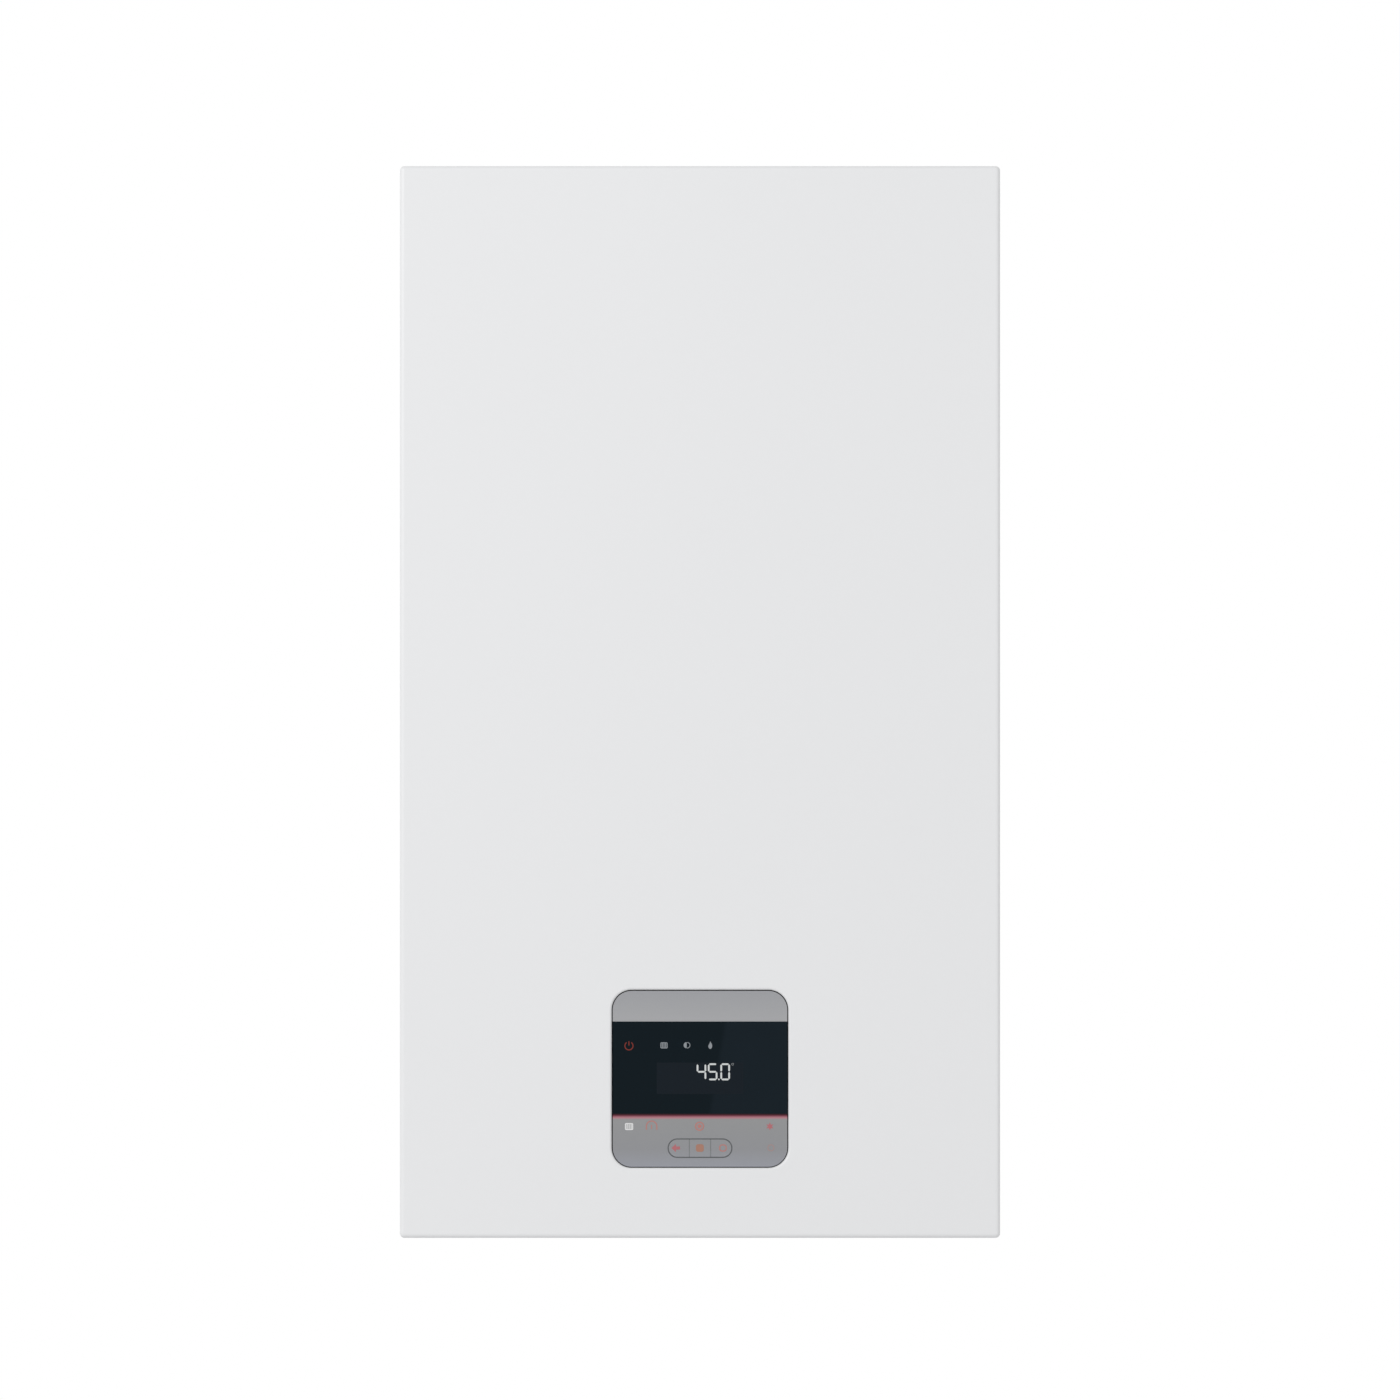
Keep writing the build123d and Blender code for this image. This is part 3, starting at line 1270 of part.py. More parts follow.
# ---- flow sensor ----
def make_flow_sensor():
    """Housing on the cold inlet with a spider at each end of the turbine."""
    y = connection_y
    bore = sensor_radius - sensor_wall
    body = post(sensor_radius, cold_x, y, collar_top, sensor_top)
    body += rod_x(filling_tube_radius + 1, y, filling_height, cold_x, cold_x + sensor_radius + boss_reach)
    body -= post(bore, cold_x, y, collar_top - 1, sensor_top - boss_height)
    body -= post(small_pipe_radius - pipe_wall, cold_x, y, collar_top, sensor_top + 1)
    for z in (turbine_low - boss_height - turbine_gap, turbine_high + turbine_gap):
        body += block(cold_x - bore, cold_x + bore, y - spider_half, y + spider_half, z, z + boss_height)
        body -= post(turbine_shaft_radius + shaft_running_gap, cold_x, y, z - 1, z + boss_height + 1)
    return body


def make_flow_turbine():
    """Small turbine that the cold water spins."""
    y = connection_y
    radius = sensor_radius - sensor_wall - turbine_gap
    hub = post(boss_height, cold_x, y, turbine_low, turbine_high)
    half = turbine_blade_thickness / 2
    blade = block(0, radius, -half, half, turbine_low, turbine_high)
    blades = [Pos(cold_x, y, 0) * Rot(0, 0, a) * blade for a in around(turbine_blades)]
    shaft = post(turbine_shaft_radius, cold_x, y, turbine_low - boss_height, turbine_high + boss_height)
    return hub + blades + shaft


# ---- condensate trap ----
def make_condensate_trap():
    """Trap body standing on the bottom panel, with its overflow spout."""
    route = [(trap_x - trap_radius + spout_radius, trap_y, trap_outlet_height),
             (spout_x, trap_y, trap_outlet_height), (spout_x, trap_y, spout_end)]
    bore = spout_radius - trap_wall
    trap = post(trap_radius, trap_x, trap_y, bottom_panel_top, trap_top)
    trap += post(trap_radius + trap_flange, trap_x, trap_y,
                 bottom_panel_top, bottom_panel_top + boss_height)
    trap += rod_along(route, pipe_bend, spout_radius)
    trap -= post(trap_radius - trap_wall, trap_x, trap_y, bottom_panel_top - 1, trap_top - trap_wall)
    trap -= post(hose_radius - trap_wall, trap_x, trap_y, trap_top - trap_wall - 1, trap_top + 1)
    return trap - rod_along(route, pipe_bend, bore)


def make_condensate_cup():
    """Cup that pulls down out of the trap for cleaning."""
    radius = trap_radius - trap_wall - cup_gap
    cup = post(radius, trap_x, trap_y, cup_bottom, cup_bottom + cup_height)
    cup -= post(radius - cup_wall, trap_x, trap_y, cup_bottom + cup_wall, cup_bottom + cup_height + 1)
    grip = block(trap_x - radius, trap_x + radius, trap_y - cup_wall, trap_y + cup_wall,
                 cup_bottom - 2 * cup_wall, cup_bottom)
    return cup + grip


def make_condensate_hose():
    """Hose from the burner cell's drain neck down to the trap."""
    return pipe([(trap_x, trap_y, trap_top), (trap_x, trap_y, drain_bottom)], 0, hose_radius, trap_wall)


def make_cable_glands():
    """Two cable glands through the bottom panel, each with its bore."""
    glands = []
    for x in gland_places():
        gland = post(gland_radius, x, gland_y, underside_recess - gland_height,
                     bottom_panel_top + gland_height)
        gland += post(gland_radius + gland_nut, x, gland_y, bottom_panel_top,
                      bottom_panel_top + gland_height)
        gland += post(gland_radius + gland_nut / 2, x, gland_y, underside_recess - gland_height,
                      underside_recess)
        glands.append(gland - post(gland_bore, x, gland_y, 0, collar_top + gland_height + 1))
    return Part() + glands


nodes = {
    "wall_bracket": make_wall_bracket,
    "back_panel": make_back_panel,
    "top_panel": make_top_panel,
    "bottom_panel": make_bottom_panel,
    "left_side_panel": make_left_side_panel,
    "right_side_panel": make_right_side_panel,
    "front_crossbar": make_front_crossbar,
    "casing_seal": make_casing_seal,
    "panel_screws": make_panel_screws,
    "hinge_pins": make_hinge_pins,
    "front_casing": make_front_casing,
    "casing_screws": make_casing_screws,
    "control_box": make_control_box,
    "control_box_cover": make_control_box_cover,
    "circuit_board": make_circuit_board,
    "fascia_frame": make_fascia_frame,
    "display_glass": make_display_glass,
    "key_left": lambda: make_key(0),
    "key_menu": lambda: make_key(1),
    "key_right": lambda: make_key(2),
    "flue_collar": make_flue_collar,
    "flue_pipe": make_flue_pipe,
    "cell_bracket": make_cell_bracket,
    "heat_exchanger_shell": make_heat_exchanger_shell,
    "heat_exchanger_coil": make_heat_exchanger_coil,
    "burner_gasket": make_burner_gasket,
    "burner_door": make_burner_door,
    "door_nuts": make_door_nuts,
    "burner_tube": make_burner_tube,
    "ignition_electrode": make_ignition_electrode,
    "mixing_elbow": make_mixing_elbow,
    "fan_housing": make_fan_housing,
    "fan_rotor": make_fan_rotor,
    "fan_motor": make_fan_motor,
    "air_intake": make_air_intake,
    "gas_valve": make_gas_valve,
    "gas_pipes": make_gas_pipes,
    "vessel_shells": make_vessel_shells,
    "vessel_diaphragm": make_vessel_diaphragm,
    "pump_housing": make_pump_housing,
    "pump_rotor": make_pump_rotor,
    "pump_motor": make_pump_motor,
    "return_block": make_return_block,
    "plate_heat_exchanger": make_plate_heat_exchanger,
    "flow_block": make_flow_block,
    "diverter_stem": make_diverter_stem,
    "diverter_actuator": make_diverter_actuator,
    "heating_pipes": make_heating_pipes,
    "water_pipes": make_water_pipes,
    "pipe_connections": make_pipe_connections,
    "safety_valve": make_safety_valve,
    "safety_valve_knob": make_safety_valve_knob,
    "filling_tap": make_filling_tap,
    "filling_knob": make_filling_knob,
    "flow_sensor": make_flow_sensor,
    "flow_turbine": make_flow_turbine,
    "condensate_trap": make_condensate_trap,
    "condensate_cup": make_condensate_cup,
    "condensate_hose": make_condensate_hose,
    "cable_glands": make_cable_glands,
}

os.makedirs("parts", exist_ok=True)
for name, make in nodes.items():
    export_step(Pos(0, 0, -hanger_height) * make(), f"parts/{name}.step")
print(len(nodes), "nodes written")
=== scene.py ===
import math
import bpy
import bmesh
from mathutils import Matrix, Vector


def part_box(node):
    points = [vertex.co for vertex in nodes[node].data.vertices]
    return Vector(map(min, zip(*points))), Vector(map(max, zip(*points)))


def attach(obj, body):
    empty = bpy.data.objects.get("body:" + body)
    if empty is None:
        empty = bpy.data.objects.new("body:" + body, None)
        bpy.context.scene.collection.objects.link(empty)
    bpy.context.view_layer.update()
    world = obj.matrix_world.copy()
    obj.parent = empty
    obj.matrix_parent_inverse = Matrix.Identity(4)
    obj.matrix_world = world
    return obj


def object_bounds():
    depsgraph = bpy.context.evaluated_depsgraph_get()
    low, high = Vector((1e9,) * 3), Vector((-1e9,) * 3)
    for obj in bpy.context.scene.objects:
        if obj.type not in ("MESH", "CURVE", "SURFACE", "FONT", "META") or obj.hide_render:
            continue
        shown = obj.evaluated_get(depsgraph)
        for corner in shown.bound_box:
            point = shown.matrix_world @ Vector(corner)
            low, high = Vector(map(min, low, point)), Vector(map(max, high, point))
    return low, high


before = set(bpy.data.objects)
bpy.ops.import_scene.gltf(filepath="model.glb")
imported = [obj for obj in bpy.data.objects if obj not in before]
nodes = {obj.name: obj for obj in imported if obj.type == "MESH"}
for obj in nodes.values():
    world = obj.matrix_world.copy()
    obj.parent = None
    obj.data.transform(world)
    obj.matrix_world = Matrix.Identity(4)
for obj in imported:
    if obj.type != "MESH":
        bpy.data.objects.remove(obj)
cadLow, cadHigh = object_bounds()
print("frame loaded:", len(nodes), "nodes")


# a plain value is set on the socket, an output is linked to it
def feed(tree, value, socket):
    if isinstance(value, tuple) and len(value) == 3 and socket.type == "RGBA":
        value = (*value, 1.0)
    if isinstance(value, (tuple, int, float)):
        socket.default_value = value
    else:
        tree.links.new(value, socket)


def addPlace(tree):
    return tree.nodes.new("ShaderNodeTexCoord").outputs["Object"]


def addAxes(tree, vector):
    axes = tree.nodes.new("ShaderNodeSeparateXYZ")
    tree.links.new(vector, axes.inputs[0])
    return axes.outputs


def addNoise(tree, vector, scale, detail, roughness=0.55):
    noise = tree.nodes.new("ShaderNodeTexNoise")
    noise.inputs["Detail"].default_value = detail
    noise.inputs["Roughness"].default_value = roughness
    tree.links.new(vector, noise.inputs["Vector"])
    feed(tree, scale, noise.inputs["Scale"])
    return noise.outputs["Fac"]


def addMath(tree, operation, first, second):
    node = tree.nodes.new("ShaderNodeMath")
    node.operation = operation
    feed(tree, first, node.inputs[0])
    feed(tree, second, node.inputs[1])
    return node.outputs[0]


# base plus a share of a value
def addShare(tree, base, value, share):
    return addMath(tree, "ADD", base, addMath(tree, "MULTIPLY", value, share))


# how far a noise is from its middle, times an amount
def addSwing(tree, value, amount):
    return addMath(tree, "MULTIPLY", addMath(tree, "SUBTRACT", value, 0.5), amount)


def addBump(tree, height, strength, distance):
    bump = tree.nodes.new("ShaderNodeBump")
    bump.inputs["Distance"].default_value = distance
    tree.links.new(height, bump.inputs["Height"])
    feed(tree, strength, bump.inputs["Strength"])
    return bump.outputs["Normal"]


def addMix(tree, factor, first, second, blend="MIX"):
    mix = tree.nodes.new("ShaderNodeMix")
    mix.data_type = "RGBA"
    mix.blend_type = blend
    for index, value in ((0, factor), (6, first), (7, second)):
        feed(tree, value, mix.inputs[index])
    return mix.outputs[2]


# a colour made lighter or darker by a changing factor
def addShade(tree, colour, factor):
    grey = tree.nodes.new("ShaderNodeCombineColor")
    for channel in range(3):
        tree.links.new(factor, grey.inputs[channel])
    return addMix(tree, 1.0, colour, grey.outputs[0], "MULTIPLY")


# colour that follows the height between two levels; the stops run from 0 to 1
def addHeightRamp(tree, place, low, high, stops):
    height = tree.nodes.new("ShaderNodeMapRange")
    height.inputs["From Min"].default_value = low
    height.inputs["From Max"].default_value = high
    tree.links.new(addAxes(tree, place)["Z"], height.inputs["Value"])
    ramp = tree.nodes.new("ShaderNodeValToRGB")
    lowest, *between, highest = stops
    ramp.color_ramp.elements[0].color = (*lowest[1], 1.0)
    ramp.color_ramp.elements[1].color = (*highest[1], 1.0)
    for position, colour in between:
        ramp.color_ramp.elements.new(position).color = (*colour, 1.0)
    tree.links.new(height.outputs[0], ramp.inputs[0])
    return ramp.outputs[0]


# effects that several finishes share, as node groups
# an input's value tells its kind: four numbers are a colour, three a vector
def newGroup(name, inputs, outputs):
    group = bpy.data.node_groups.new(name, "ShaderNodeTree")
    for label, value in inputs:
        kind = "NodeSocketFloat"
        if isinstance(value, tuple):
            kind = "NodeSocketColor" if len(value) == 4 else "NodeSocketVector"
        socket = group.interface.new_socket(label, in_out="INPUT", socket_type=kind)
        socket.default_value = value
    for label, kind in outputs:
        group.interface.new_socket(label, in_out="OUTPUT", socket_type=kind)
    return group, group.nodes.new("NodeGroupInput").outputs, group.nodes.new("NodeGroupOutput").inputs


def endGroup(group, end, **results):
    for label, value in results.items():
        group.links.new(value, end[label])
    return group


plainGrey = (0.6, 0.6, 0.6, 1)
surfaceOutputs = [("Colour", "NodeSocketColor"), ("Roughness", "NodeSocketFloat"),
                  ("Normal", "NodeSocketVector")]

# fine peel of powder coat and lacquer, with a slow drift of tone over the panel
peelEffect = {"driftScale": 4.0, "speckScale": 2600.0, "speckShare": 0.6, "roughnessSwing": 0.08,
              "bump": 0.0002}


def makePeel():
    group, start, end = newGroup("coatPeel", [
        ("Colour", (0.8, 0.8, 0.8, 1)), ("Peel Scale", 900.0), ("Peel Depth", 0.1), ("Tone Drift", 0.02),
        ("Roughness", 0.35)], surfaceOutputs)
    place = addPlace(group)
    peel = addNoise(group, place, start["Peel Scale"], detail=2.0)
    drift = addNoise(group, place, peelEffect["driftScale"], detail=2.0)
    speck = addNoise(group, place, peelEffect["speckScale"], detail=1.0)
    tone = addMath(group, "MULTIPLY", drift, start["Tone Drift"])
    speckTone = addMath(group, "MULTIPLY", start["Tone Drift"], peelEffect["speckShare"])
    shade = addShare(group, addMath(group, "SUBTRACT", 1.0, tone), speck, speckTone)
    swing = addSwing(group, drift, peelEffect["roughnessSwing"])
    return endGroup(group, end, Colour=addShade(group, start["Colour"], shade),
                    Roughness=addMath(group, "ADD", start["Roughness"], swing),
                    Normal=addBump(group, peel, start["Peel Depth"], peelEffect["bump"]))


# drawn or rolled metal: streaks along one direction, with dull and bright patches
streakEffect = {"streakScale": 30.0, "patchScale": 45.0, "spangleScale": 70.0, "roughnessShare": 0.6,
                "bump": 0.0003}


def makeStreaks():
    group, start, end = newGroup("metalStreaks", [
        ("Colour", plainGrey), ("Stretch", (1, 40, 1)), ("Depth", 0.1), ("Patches", 0.25),
        ("Roughness", 0.35)], surfaceOutputs)
    place = addPlace(group)
    stretch = group.nodes.new("ShaderNodeVectorMath")
    stretch.operation = "MULTIPLY"
    group.links.new(place, stretch.inputs[0])
    group.links.new(start["Stretch"], stretch.inputs[1])
    streak = addNoise(group, stretch.outputs[0], streakEffect["streakScale"], detail=4.0)
    patch = addNoise(group, place, streakEffect["patchScale"], detail=3.0)
    cell = group.nodes.new("ShaderNodeTexVoronoi")
    cell.inputs["Scale"].default_value = streakEffect["spangleScale"]
    group.links.new(place, cell.inputs["Vector"])
    spangle = group.nodes.new("ShaderNodeSeparateColor")
    group.links.new(cell.outputs["Color"], spangle.inputs[0])
    halfPatch = addMath(group, "MULTIPLY", patch, 0.5)
    patches = addShare(group, halfPatch, spangle.outputs[0], 0.5)     # half soft patches, half spangle
    streakSwing = addSwing(group, streak, start["Depth"])
    swing = addMath(group, "ADD", addSwing(group, patches, start["Patches"]), streakSwing)
    return endGroup(group, end, Colour=addShade(group, start["Colour"], addMath(group, "ADD", 1.0, swing)),
                    Roughness=addShare(group, start["Roughness"], swing, streakEffect["roughnessShare"]),
                    Normal=addBump(group, streak, start["Depth"], streakEffect["bump"]))


# sand-cast or moulded grain
grainEffect = {"mottleScale": 60.0, "grainShare": 0.8, "roughnessShare": 0.5, "bump": 0.0003}


def makeGrain():
    group, start, end = newGroup("castGrain", [
        ("Colour", plainGrey), ("Grain Scale", 700.0), ("Depth", 0.3), ("Mottle", 0.1),
        ("Roughness", 0.5)], surfaceOutputs)
    place = addPlace(group)
    grain = addNoise(group, place, start["Grain Scale"], detail=6.0, roughness=0.7)
    mottle = addNoise(group, place, grainEffect["mottleScale"], detail=4.0)
    grainTone = addMath(group, "MULTIPLY", start["Mottle"], grainEffect["grainShare"])
    grainSwing = addSwing(group, grain, grainTone)
    swing = addMath(group, "ADD", addSwing(group, mottle, start["Mottle"]), grainSwing)
    smoother = addMath(group, "MULTIPLY", swing, grainEffect["roughnessShare"])
    return endGroup(group, end, Colour=addShade(group, start["Colour"], addMath(group, "ADD", 1.0, swing)),
                    Roughness=addMath(group, "SUBTRACT", start["Roughness"], smoother),
                    Normal=addBump(group, grain, start["Depth"], grainEffect["bump"]))


# dust on ledges, and grime with painted shade in corners and between parts, darkening wherever other surfaces
# are close
soilAndShadeEffect = {"patchScale": 25.0, "reach": 0.012, "samples": 4, "dust": (0.55, 0.53, 0.50),
              "grimeAndShade": (0.05, 0.045, 0.04)}


def makeSoilAndShade():
    group, start, end = newGroup("dustAndGrime", [("Colour", plainGrey), ("Dust", 0.1), ("Grime", 0.3)],
                                 [("Colour", "NodeSocketColor")])
    facing = addAxes(group, group.nodes.new("ShaderNodeNewGeometry").outputs["Normal"])
    patch = addNoise(group, addPlace(group), soilAndShadeEffect["patchScale"], detail=5.0)
    ledge = addMath(group, "MULTIPLY", addMath(group, "MAXIMUM", facing["Z"], 0.0), patch)
    dust = addMath(group, "MULTIPLY", ledge, start["Dust"])
    dusty = addMix(group, dust, start["Colour"], soilAndShadeEffect["dust"])
    # painted shade: ambient occlusion darkens corners, creases and gaps between parts towards the near-black
    # grime colour
    corner = group.nodes.new("ShaderNodeAmbientOcclusion")
    corner.samples = soilAndShadeEffect["samples"]
    corner.inputs["Distance"].default_value = soilAndShadeEffect["reach"]
    hidden = addMath(group, "SUBTRACT", 1.0, corner.outputs["AO"])
    grimeAndShade = addMath(group, "MULTIPLY", hidden, start["Grime"])
    return endGroup(group, end, Colour=addMix(group, grimeAndShade, dusty, soilAndShadeEffect["grimeAndShade"]))


peelGroup, streakGroup, grainGroup, soilAndShadeGroup = makePeel(), makeStreaks(), makeGrain(), makeSoilAndShade()
print("shared effects made")


# finishes
def newMaterial(name):
    material = bpy.data.materials.new(name)
    material.use_nodes = True
    return material, material.node_tree, material.node_tree.nodes["Principled BSDF"]


def placeGroup(tree, group, **values):
    node = tree.nodes.new("ShaderNodeGroup")
    node.node_tree = group
    for label, value in values.items():
        feed(tree, value, node.inputs[label.replace("_", " ")])
    return node.outputs


coatRoughness = 0.2


# soil and shade: shares of dust, and of grime with painted shade in corners
def finishWith(name, effect, metallic, soilAndShade=(0.1, 0.3), coat=0.0, specular=0.5, **values):
    material, tree, shader = newMaterial(name)
    shader.inputs["Metallic"].default_value = metallic
    shader.inputs["Coat Weight"].default_value = coat
    shader.inputs["Coat Roughness"].default_value = coatRoughness
    shader.inputs["Specular IOR Level"].default_value = specular
    surface = placeGroup(tree, effect, **values)
    # dust, and grime with painted shade in corners, go onto every finish
    soiledAndShaded = placeGroup(tree, soilAndShadeGroup, Colour=surface["Colour"], Dust=soilAndShade[0], Grime=soilAndShade[1])
    tree.links.new(soiledAndShaded["Colour"], shader.inputs["Base Color"])
    tree.links.new(surface["Roughness"], shader.inputs["Roughness"])
    tree.links.new(surface["Normal"], shader.inputs["Normal"])
    return material


whiteCoat = finishWith("whitePowderCoat", peelGroup, 0.0, soilAndShade=(0.02, 0.12), specular=0.4,
                       Colour=(0.80, 0.805, 0.815), Peel_Scale=650.0, Peel_Depth=0.10, Tone_Drift=0.015,
                       Roughness=0.38)
zincSheet = finishWith("zincSheet", streakGroup, 0.85, soilAndShade=(0.15, 0.35), Colour=(0.62, 0.63, 0.64),
                       Stretch=(1.0, 1.0, 8.0), Depth=0.06, Patches=0.30, Roughness=0.38)
boltZinc = finishWith("boltZinc", streakGroup, 1.0, soilAndShade=(0.05, 0.3), Colour=(0.68, 0.67, 0.62),
                      Stretch=(3.0, 3.0, 3.0), Depth=0.1, Patches=0.2, Roughness=0.32)
stainless = finishWith("stainless", streakGroup, 1.0, soilAndShade=(0.1, 0.3), Colour=(0.62, 0.61, 0.59),
                       Stretch=(2.0, 30.0, 2.0), Depth=0.12, Patches=0.12, Roughness=0.28)
castAlloy = finishWith("castAlloy", grainGroup, 0.9, soilAndShade=(0.15, 0.45), Colour=(0.58, 0.59, 0.60),
                       Grain_Scale=600.0, Depth=0.45, Mottle=0.18, Roughness=0.48)
drawnCopper = finishWith("drawnCopper", streakGroup, 1.0, soilAndShade=(0.1, 0.35), Colour=(0.78, 0.42, 0.27),
                         Stretch=(6.0, 6.0, 0.6), Depth=0.12, Patches=0.35, Roughness=0.30)
castBrass = finishWith("castBrass", grainGroup, 1.0, soilAndShade=(0.1, 0.45), Colour=(0.66, 0.49, 0.24),
                       Grain_Scale=800.0, Depth=0.35, Mottle=0.2, Roughness=0.38)
redEnamel = finishWith("redEnamel", peelGroup, 0.0, soilAndShade=(0.25, 0.45), coat=0.3, Colour=(0.36, 0.028, 0.022),
                       Peel_Scale=350.0, Peel_Depth=0.25, Tone_Drift=0.12, Roughness=0.32)
boxPlastic = finishWith("boxPlastic", grainGroup, 0.0, soilAndShade=(0.2, 0.35), Colour=(0.075, 0.078, 0.082),
                        Grain_Scale=1400.0, Depth=0.5, Mottle=0.12, Roughness=0.55)
blackPlastic = finishWith("blackPlastic", grainGroup, 0.0, soilAndShade=(0.25, 0.3), Colour=(0.022, 0.022, 0.024),
                          Grain_Scale=1200.0, Depth=0.45, Mottle=0.2, Roughness=0.45)
compositeGrey = finishWith("compositeGrey", grainGroup, 0.0, soilAndShade=(0.2, 0.4), Colour=(0.13, 0.13, 0.14),
                           Grain_Scale=500.0, Depth=0.5, Mottle=0.3, Roughness=0.5)
actuatorGrey = finishWith("actuatorGrey", grainGroup, 0.0, soilAndShade=(0.15, 0.3), Colour=(0.26, 0.27, 0.29),
                          Grain_Scale=1200.0, Depth=0.4, Mottle=0.1, Roughness=0.5)
fluePlastic = finishWith("fluePlastic", grainGroup, 0.0, soilAndShade=(0.15, 0.4), Colour=(0.70, 0.70, 0.68),
                         Grain_Scale=900.0, Depth=0.25, Mottle=0.06, Roughness=0.42)
trapPlastic = finishWith("trapPlastic", grainGroup, 0.0, soilAndShade=(0.15, 0.45), Colour=(0.56, 0.57, 0.57),
                         Grain_Scale=700.0, Depth=0.25, Mottle=0.10, Roughness=0.38)
sealFoam = finishWith("sealFoam", grainGroup, 0.0, soilAndShade=(0.1, 0.1), specular=0.2,
                      Colour=(0.030, 0.030, 0.031), Grain_Scale=2200.0, Depth=1.0, Mottle=0.5, Roughness=0.9)
gasketBlack = finishWith("gasketBlack", grainGroup, 0.0, soilAndShade=(0.1, 0.1), specular=0.3,
                         Colour=(0.05, 0.05, 0.052), Grain_Scale=1500.0, Depth=0.8, Mottle=0.4,
                         Roughness=0.75)
ceramicWhite = finishWith("ceramicWhite", peelGroup, 0.0, coat=0.5, Colour=(0.78, 0.76, 0.70),
                          Peel_Scale=300.0, Peel_Depth=0.15, Tone_Drift=0.08, Roughness=0.25)
boardGreen = finishWith("boardGreen", grainGroup, 0.0, coat=0.3, Colour=(0.02, 0.16, 0.06), Grain_Scale=400.0,
                        Depth=0.3, Mottle=0.5, Roughness=0.35)
knobRed = finishWith("knobRed", peelGroup, 0.0, coat=0.4, Colour=(0.50, 0.015, 0.015), Peel_Scale=400.0,
                     Peel_Depth=0.15, Tone_Drift=0.08, Roughness=0.28)
knobBlue = finishWith("knobBlue", peelGroup, 0.0, coat=0.4, Colour=(0.015, 0.08, 0.38), Peel_Scale=400.0,
                      Peel_Depth=0.15, Tone_Drift=0.08, Roughness=0.28)
print("workshop finishes made")

# where the face is, from the frame
mm = 0.001
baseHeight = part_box("front_casing")[0].z
faceBox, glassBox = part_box("fascia_frame"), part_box("display_glass")
faceFront = glassBox[0].y
glassMiddle = (glassBox[0].z + glassBox[1].z) / 2

# moulded face: satin metallic paint, darker below the glass than above it, with painted shade and light
# within each band: the upper band darker towards its top and lighter next to the glass, the lower band
# lighter at its lower edge
fascia = {
    "stops": ((0.0, (0.292, 0.302, 0.338)), (0.1, (0.262, 0.266, 0.280)), (0.27, (0.272, 0.275, 0.279)),
              (0.84, (0.354, 0.357, 0.368)), (1.0, (0.316, 0.321, 0.338))),
    "flakeScale": 5200.0, "flakeTone": 0.06, "grainScale": 1500.0, "metallic": 0.25,
    "roughness": 0.40, "roughnessShare": 0.12, "bumpStrength": 0.12, "bump": 0.0001,
}


def makeFascia():
    material, tree, shader = newMaterial("fasciaSilver")
    place = addPlace(tree)
    # painted shade: the stops give the paint's two tones and the painted shade and light within each band
    paintAndShade = addHeightRamp(tree, place, faceBox[0].z, faceBox[1].z, fascia["stops"])
    flake = addNoise(tree, place, fascia["flakeScale"], detail=1.0)
    grain = addNoise(tree, place, fascia["grainScale"], detail=3.0)
    shade = addShare(tree, 1.0 - fascia["flakeTone"] / 2, flake, fascia["flakeTone"])
    tree.links.new(addShade(tree, paintAndShade, shade), shader.inputs["Base Color"])
    shader.inputs["Metallic"].default_value = fascia["metallic"]
    rough = addShare(tree, fascia["roughness"], grain, fascia["roughnessShare"])
    tree.links.new(rough, shader.inputs["Roughness"])
    tree.links.new(addBump(tree, grain, fascia["bumpStrength"], fascia["bump"]), shader.inputs["Normal"])
    return material


# dark tinted glass: almost no mirror of the bright room, and a painted reflection: a faint slanting sheen
# painted into the colour across its right half
glass = {
    "dark": (0.0016, 0.0066, 0.0105), "paintedSheen": (0.0056, 0.0118, 0.0178), "paintedSheenStart": 0.0109,
    "paintedSheenSlope": 0.17, "edgeLeft": -0.0015, "edgeRight": 0.0025, "evenPaintedSheen": 0.55, "smearPaintedSheen": 0.4,
    "smearScale": 30.0, "ior": 1.2, "specular": 0.4, "roughness": 0.05, "roughnessShare": 0.06,
    "bumpStrength": 0.02, "bump": 0.0001,
}


def makeGlass():
    material, tree, shader = newMaterial("darkGlassPaintedSheen")
    place = addPlace(tree)
    axes = addAxes(tree, place)
    # painted reflection: past a slanting edge the colour turns to the lighter sheen colour, smeared by noise
    slant = addMath(tree, "MULTIPLY", addMath(tree, "SUBTRACT", axes["Z"], glassMiddle), glass["paintedSheenSlope"])
    edge = tree.nodes.new("ShaderNodeMapRange")
    edge.interpolation_type = "SMOOTHSTEP"
    edge.inputs["From Min"].default_value = glass["edgeLeft"]
    edge.inputs["From Max"].default_value = glass["edgeRight"]
    tree.links.new(addMath(tree, "SUBTRACT", axes["X"], addMath(tree, "ADD", slant, glass["paintedSheenStart"])),
                   edge.inputs["Value"])
    smear = addNoise(tree, place, glass["smearScale"], detail=4.0)
    smeared = addShare(tree, glass["evenPaintedSheen"], smear, glass["smearPaintedSheen"])
    paintedSheen = addMath(tree, "MULTIPLY", edge.outputs[0], smeared)
    tree.links.new(addMix(tree, paintedSheen, glass["dark"], glass["paintedSheen"]), shader.inputs["Base Color"])
    shader.inputs["IOR"].default_value = glass["ior"]
    shader.inputs["Specular IOR Level"].default_value = glass["specular"]
    rough = addShare(tree, glass["roughness"], smear, glass["roughnessShare"])
    tree.links.new(rough, shader.inputs["Roughness"])
    tree.links.new(addBump(tree, smear, glass["bumpStrength"], glass["bump"]), shader.inputs["Normal"])
    return material


# the matt, slightly grainy surface of every printed or lit mark
ink = {"grainScale": 2400.0, "roughnessShare": 0.1, "bumpStrength": 0.05, "bump": 0.00005, "specular": 0.15,
       "darkest": 0.45}


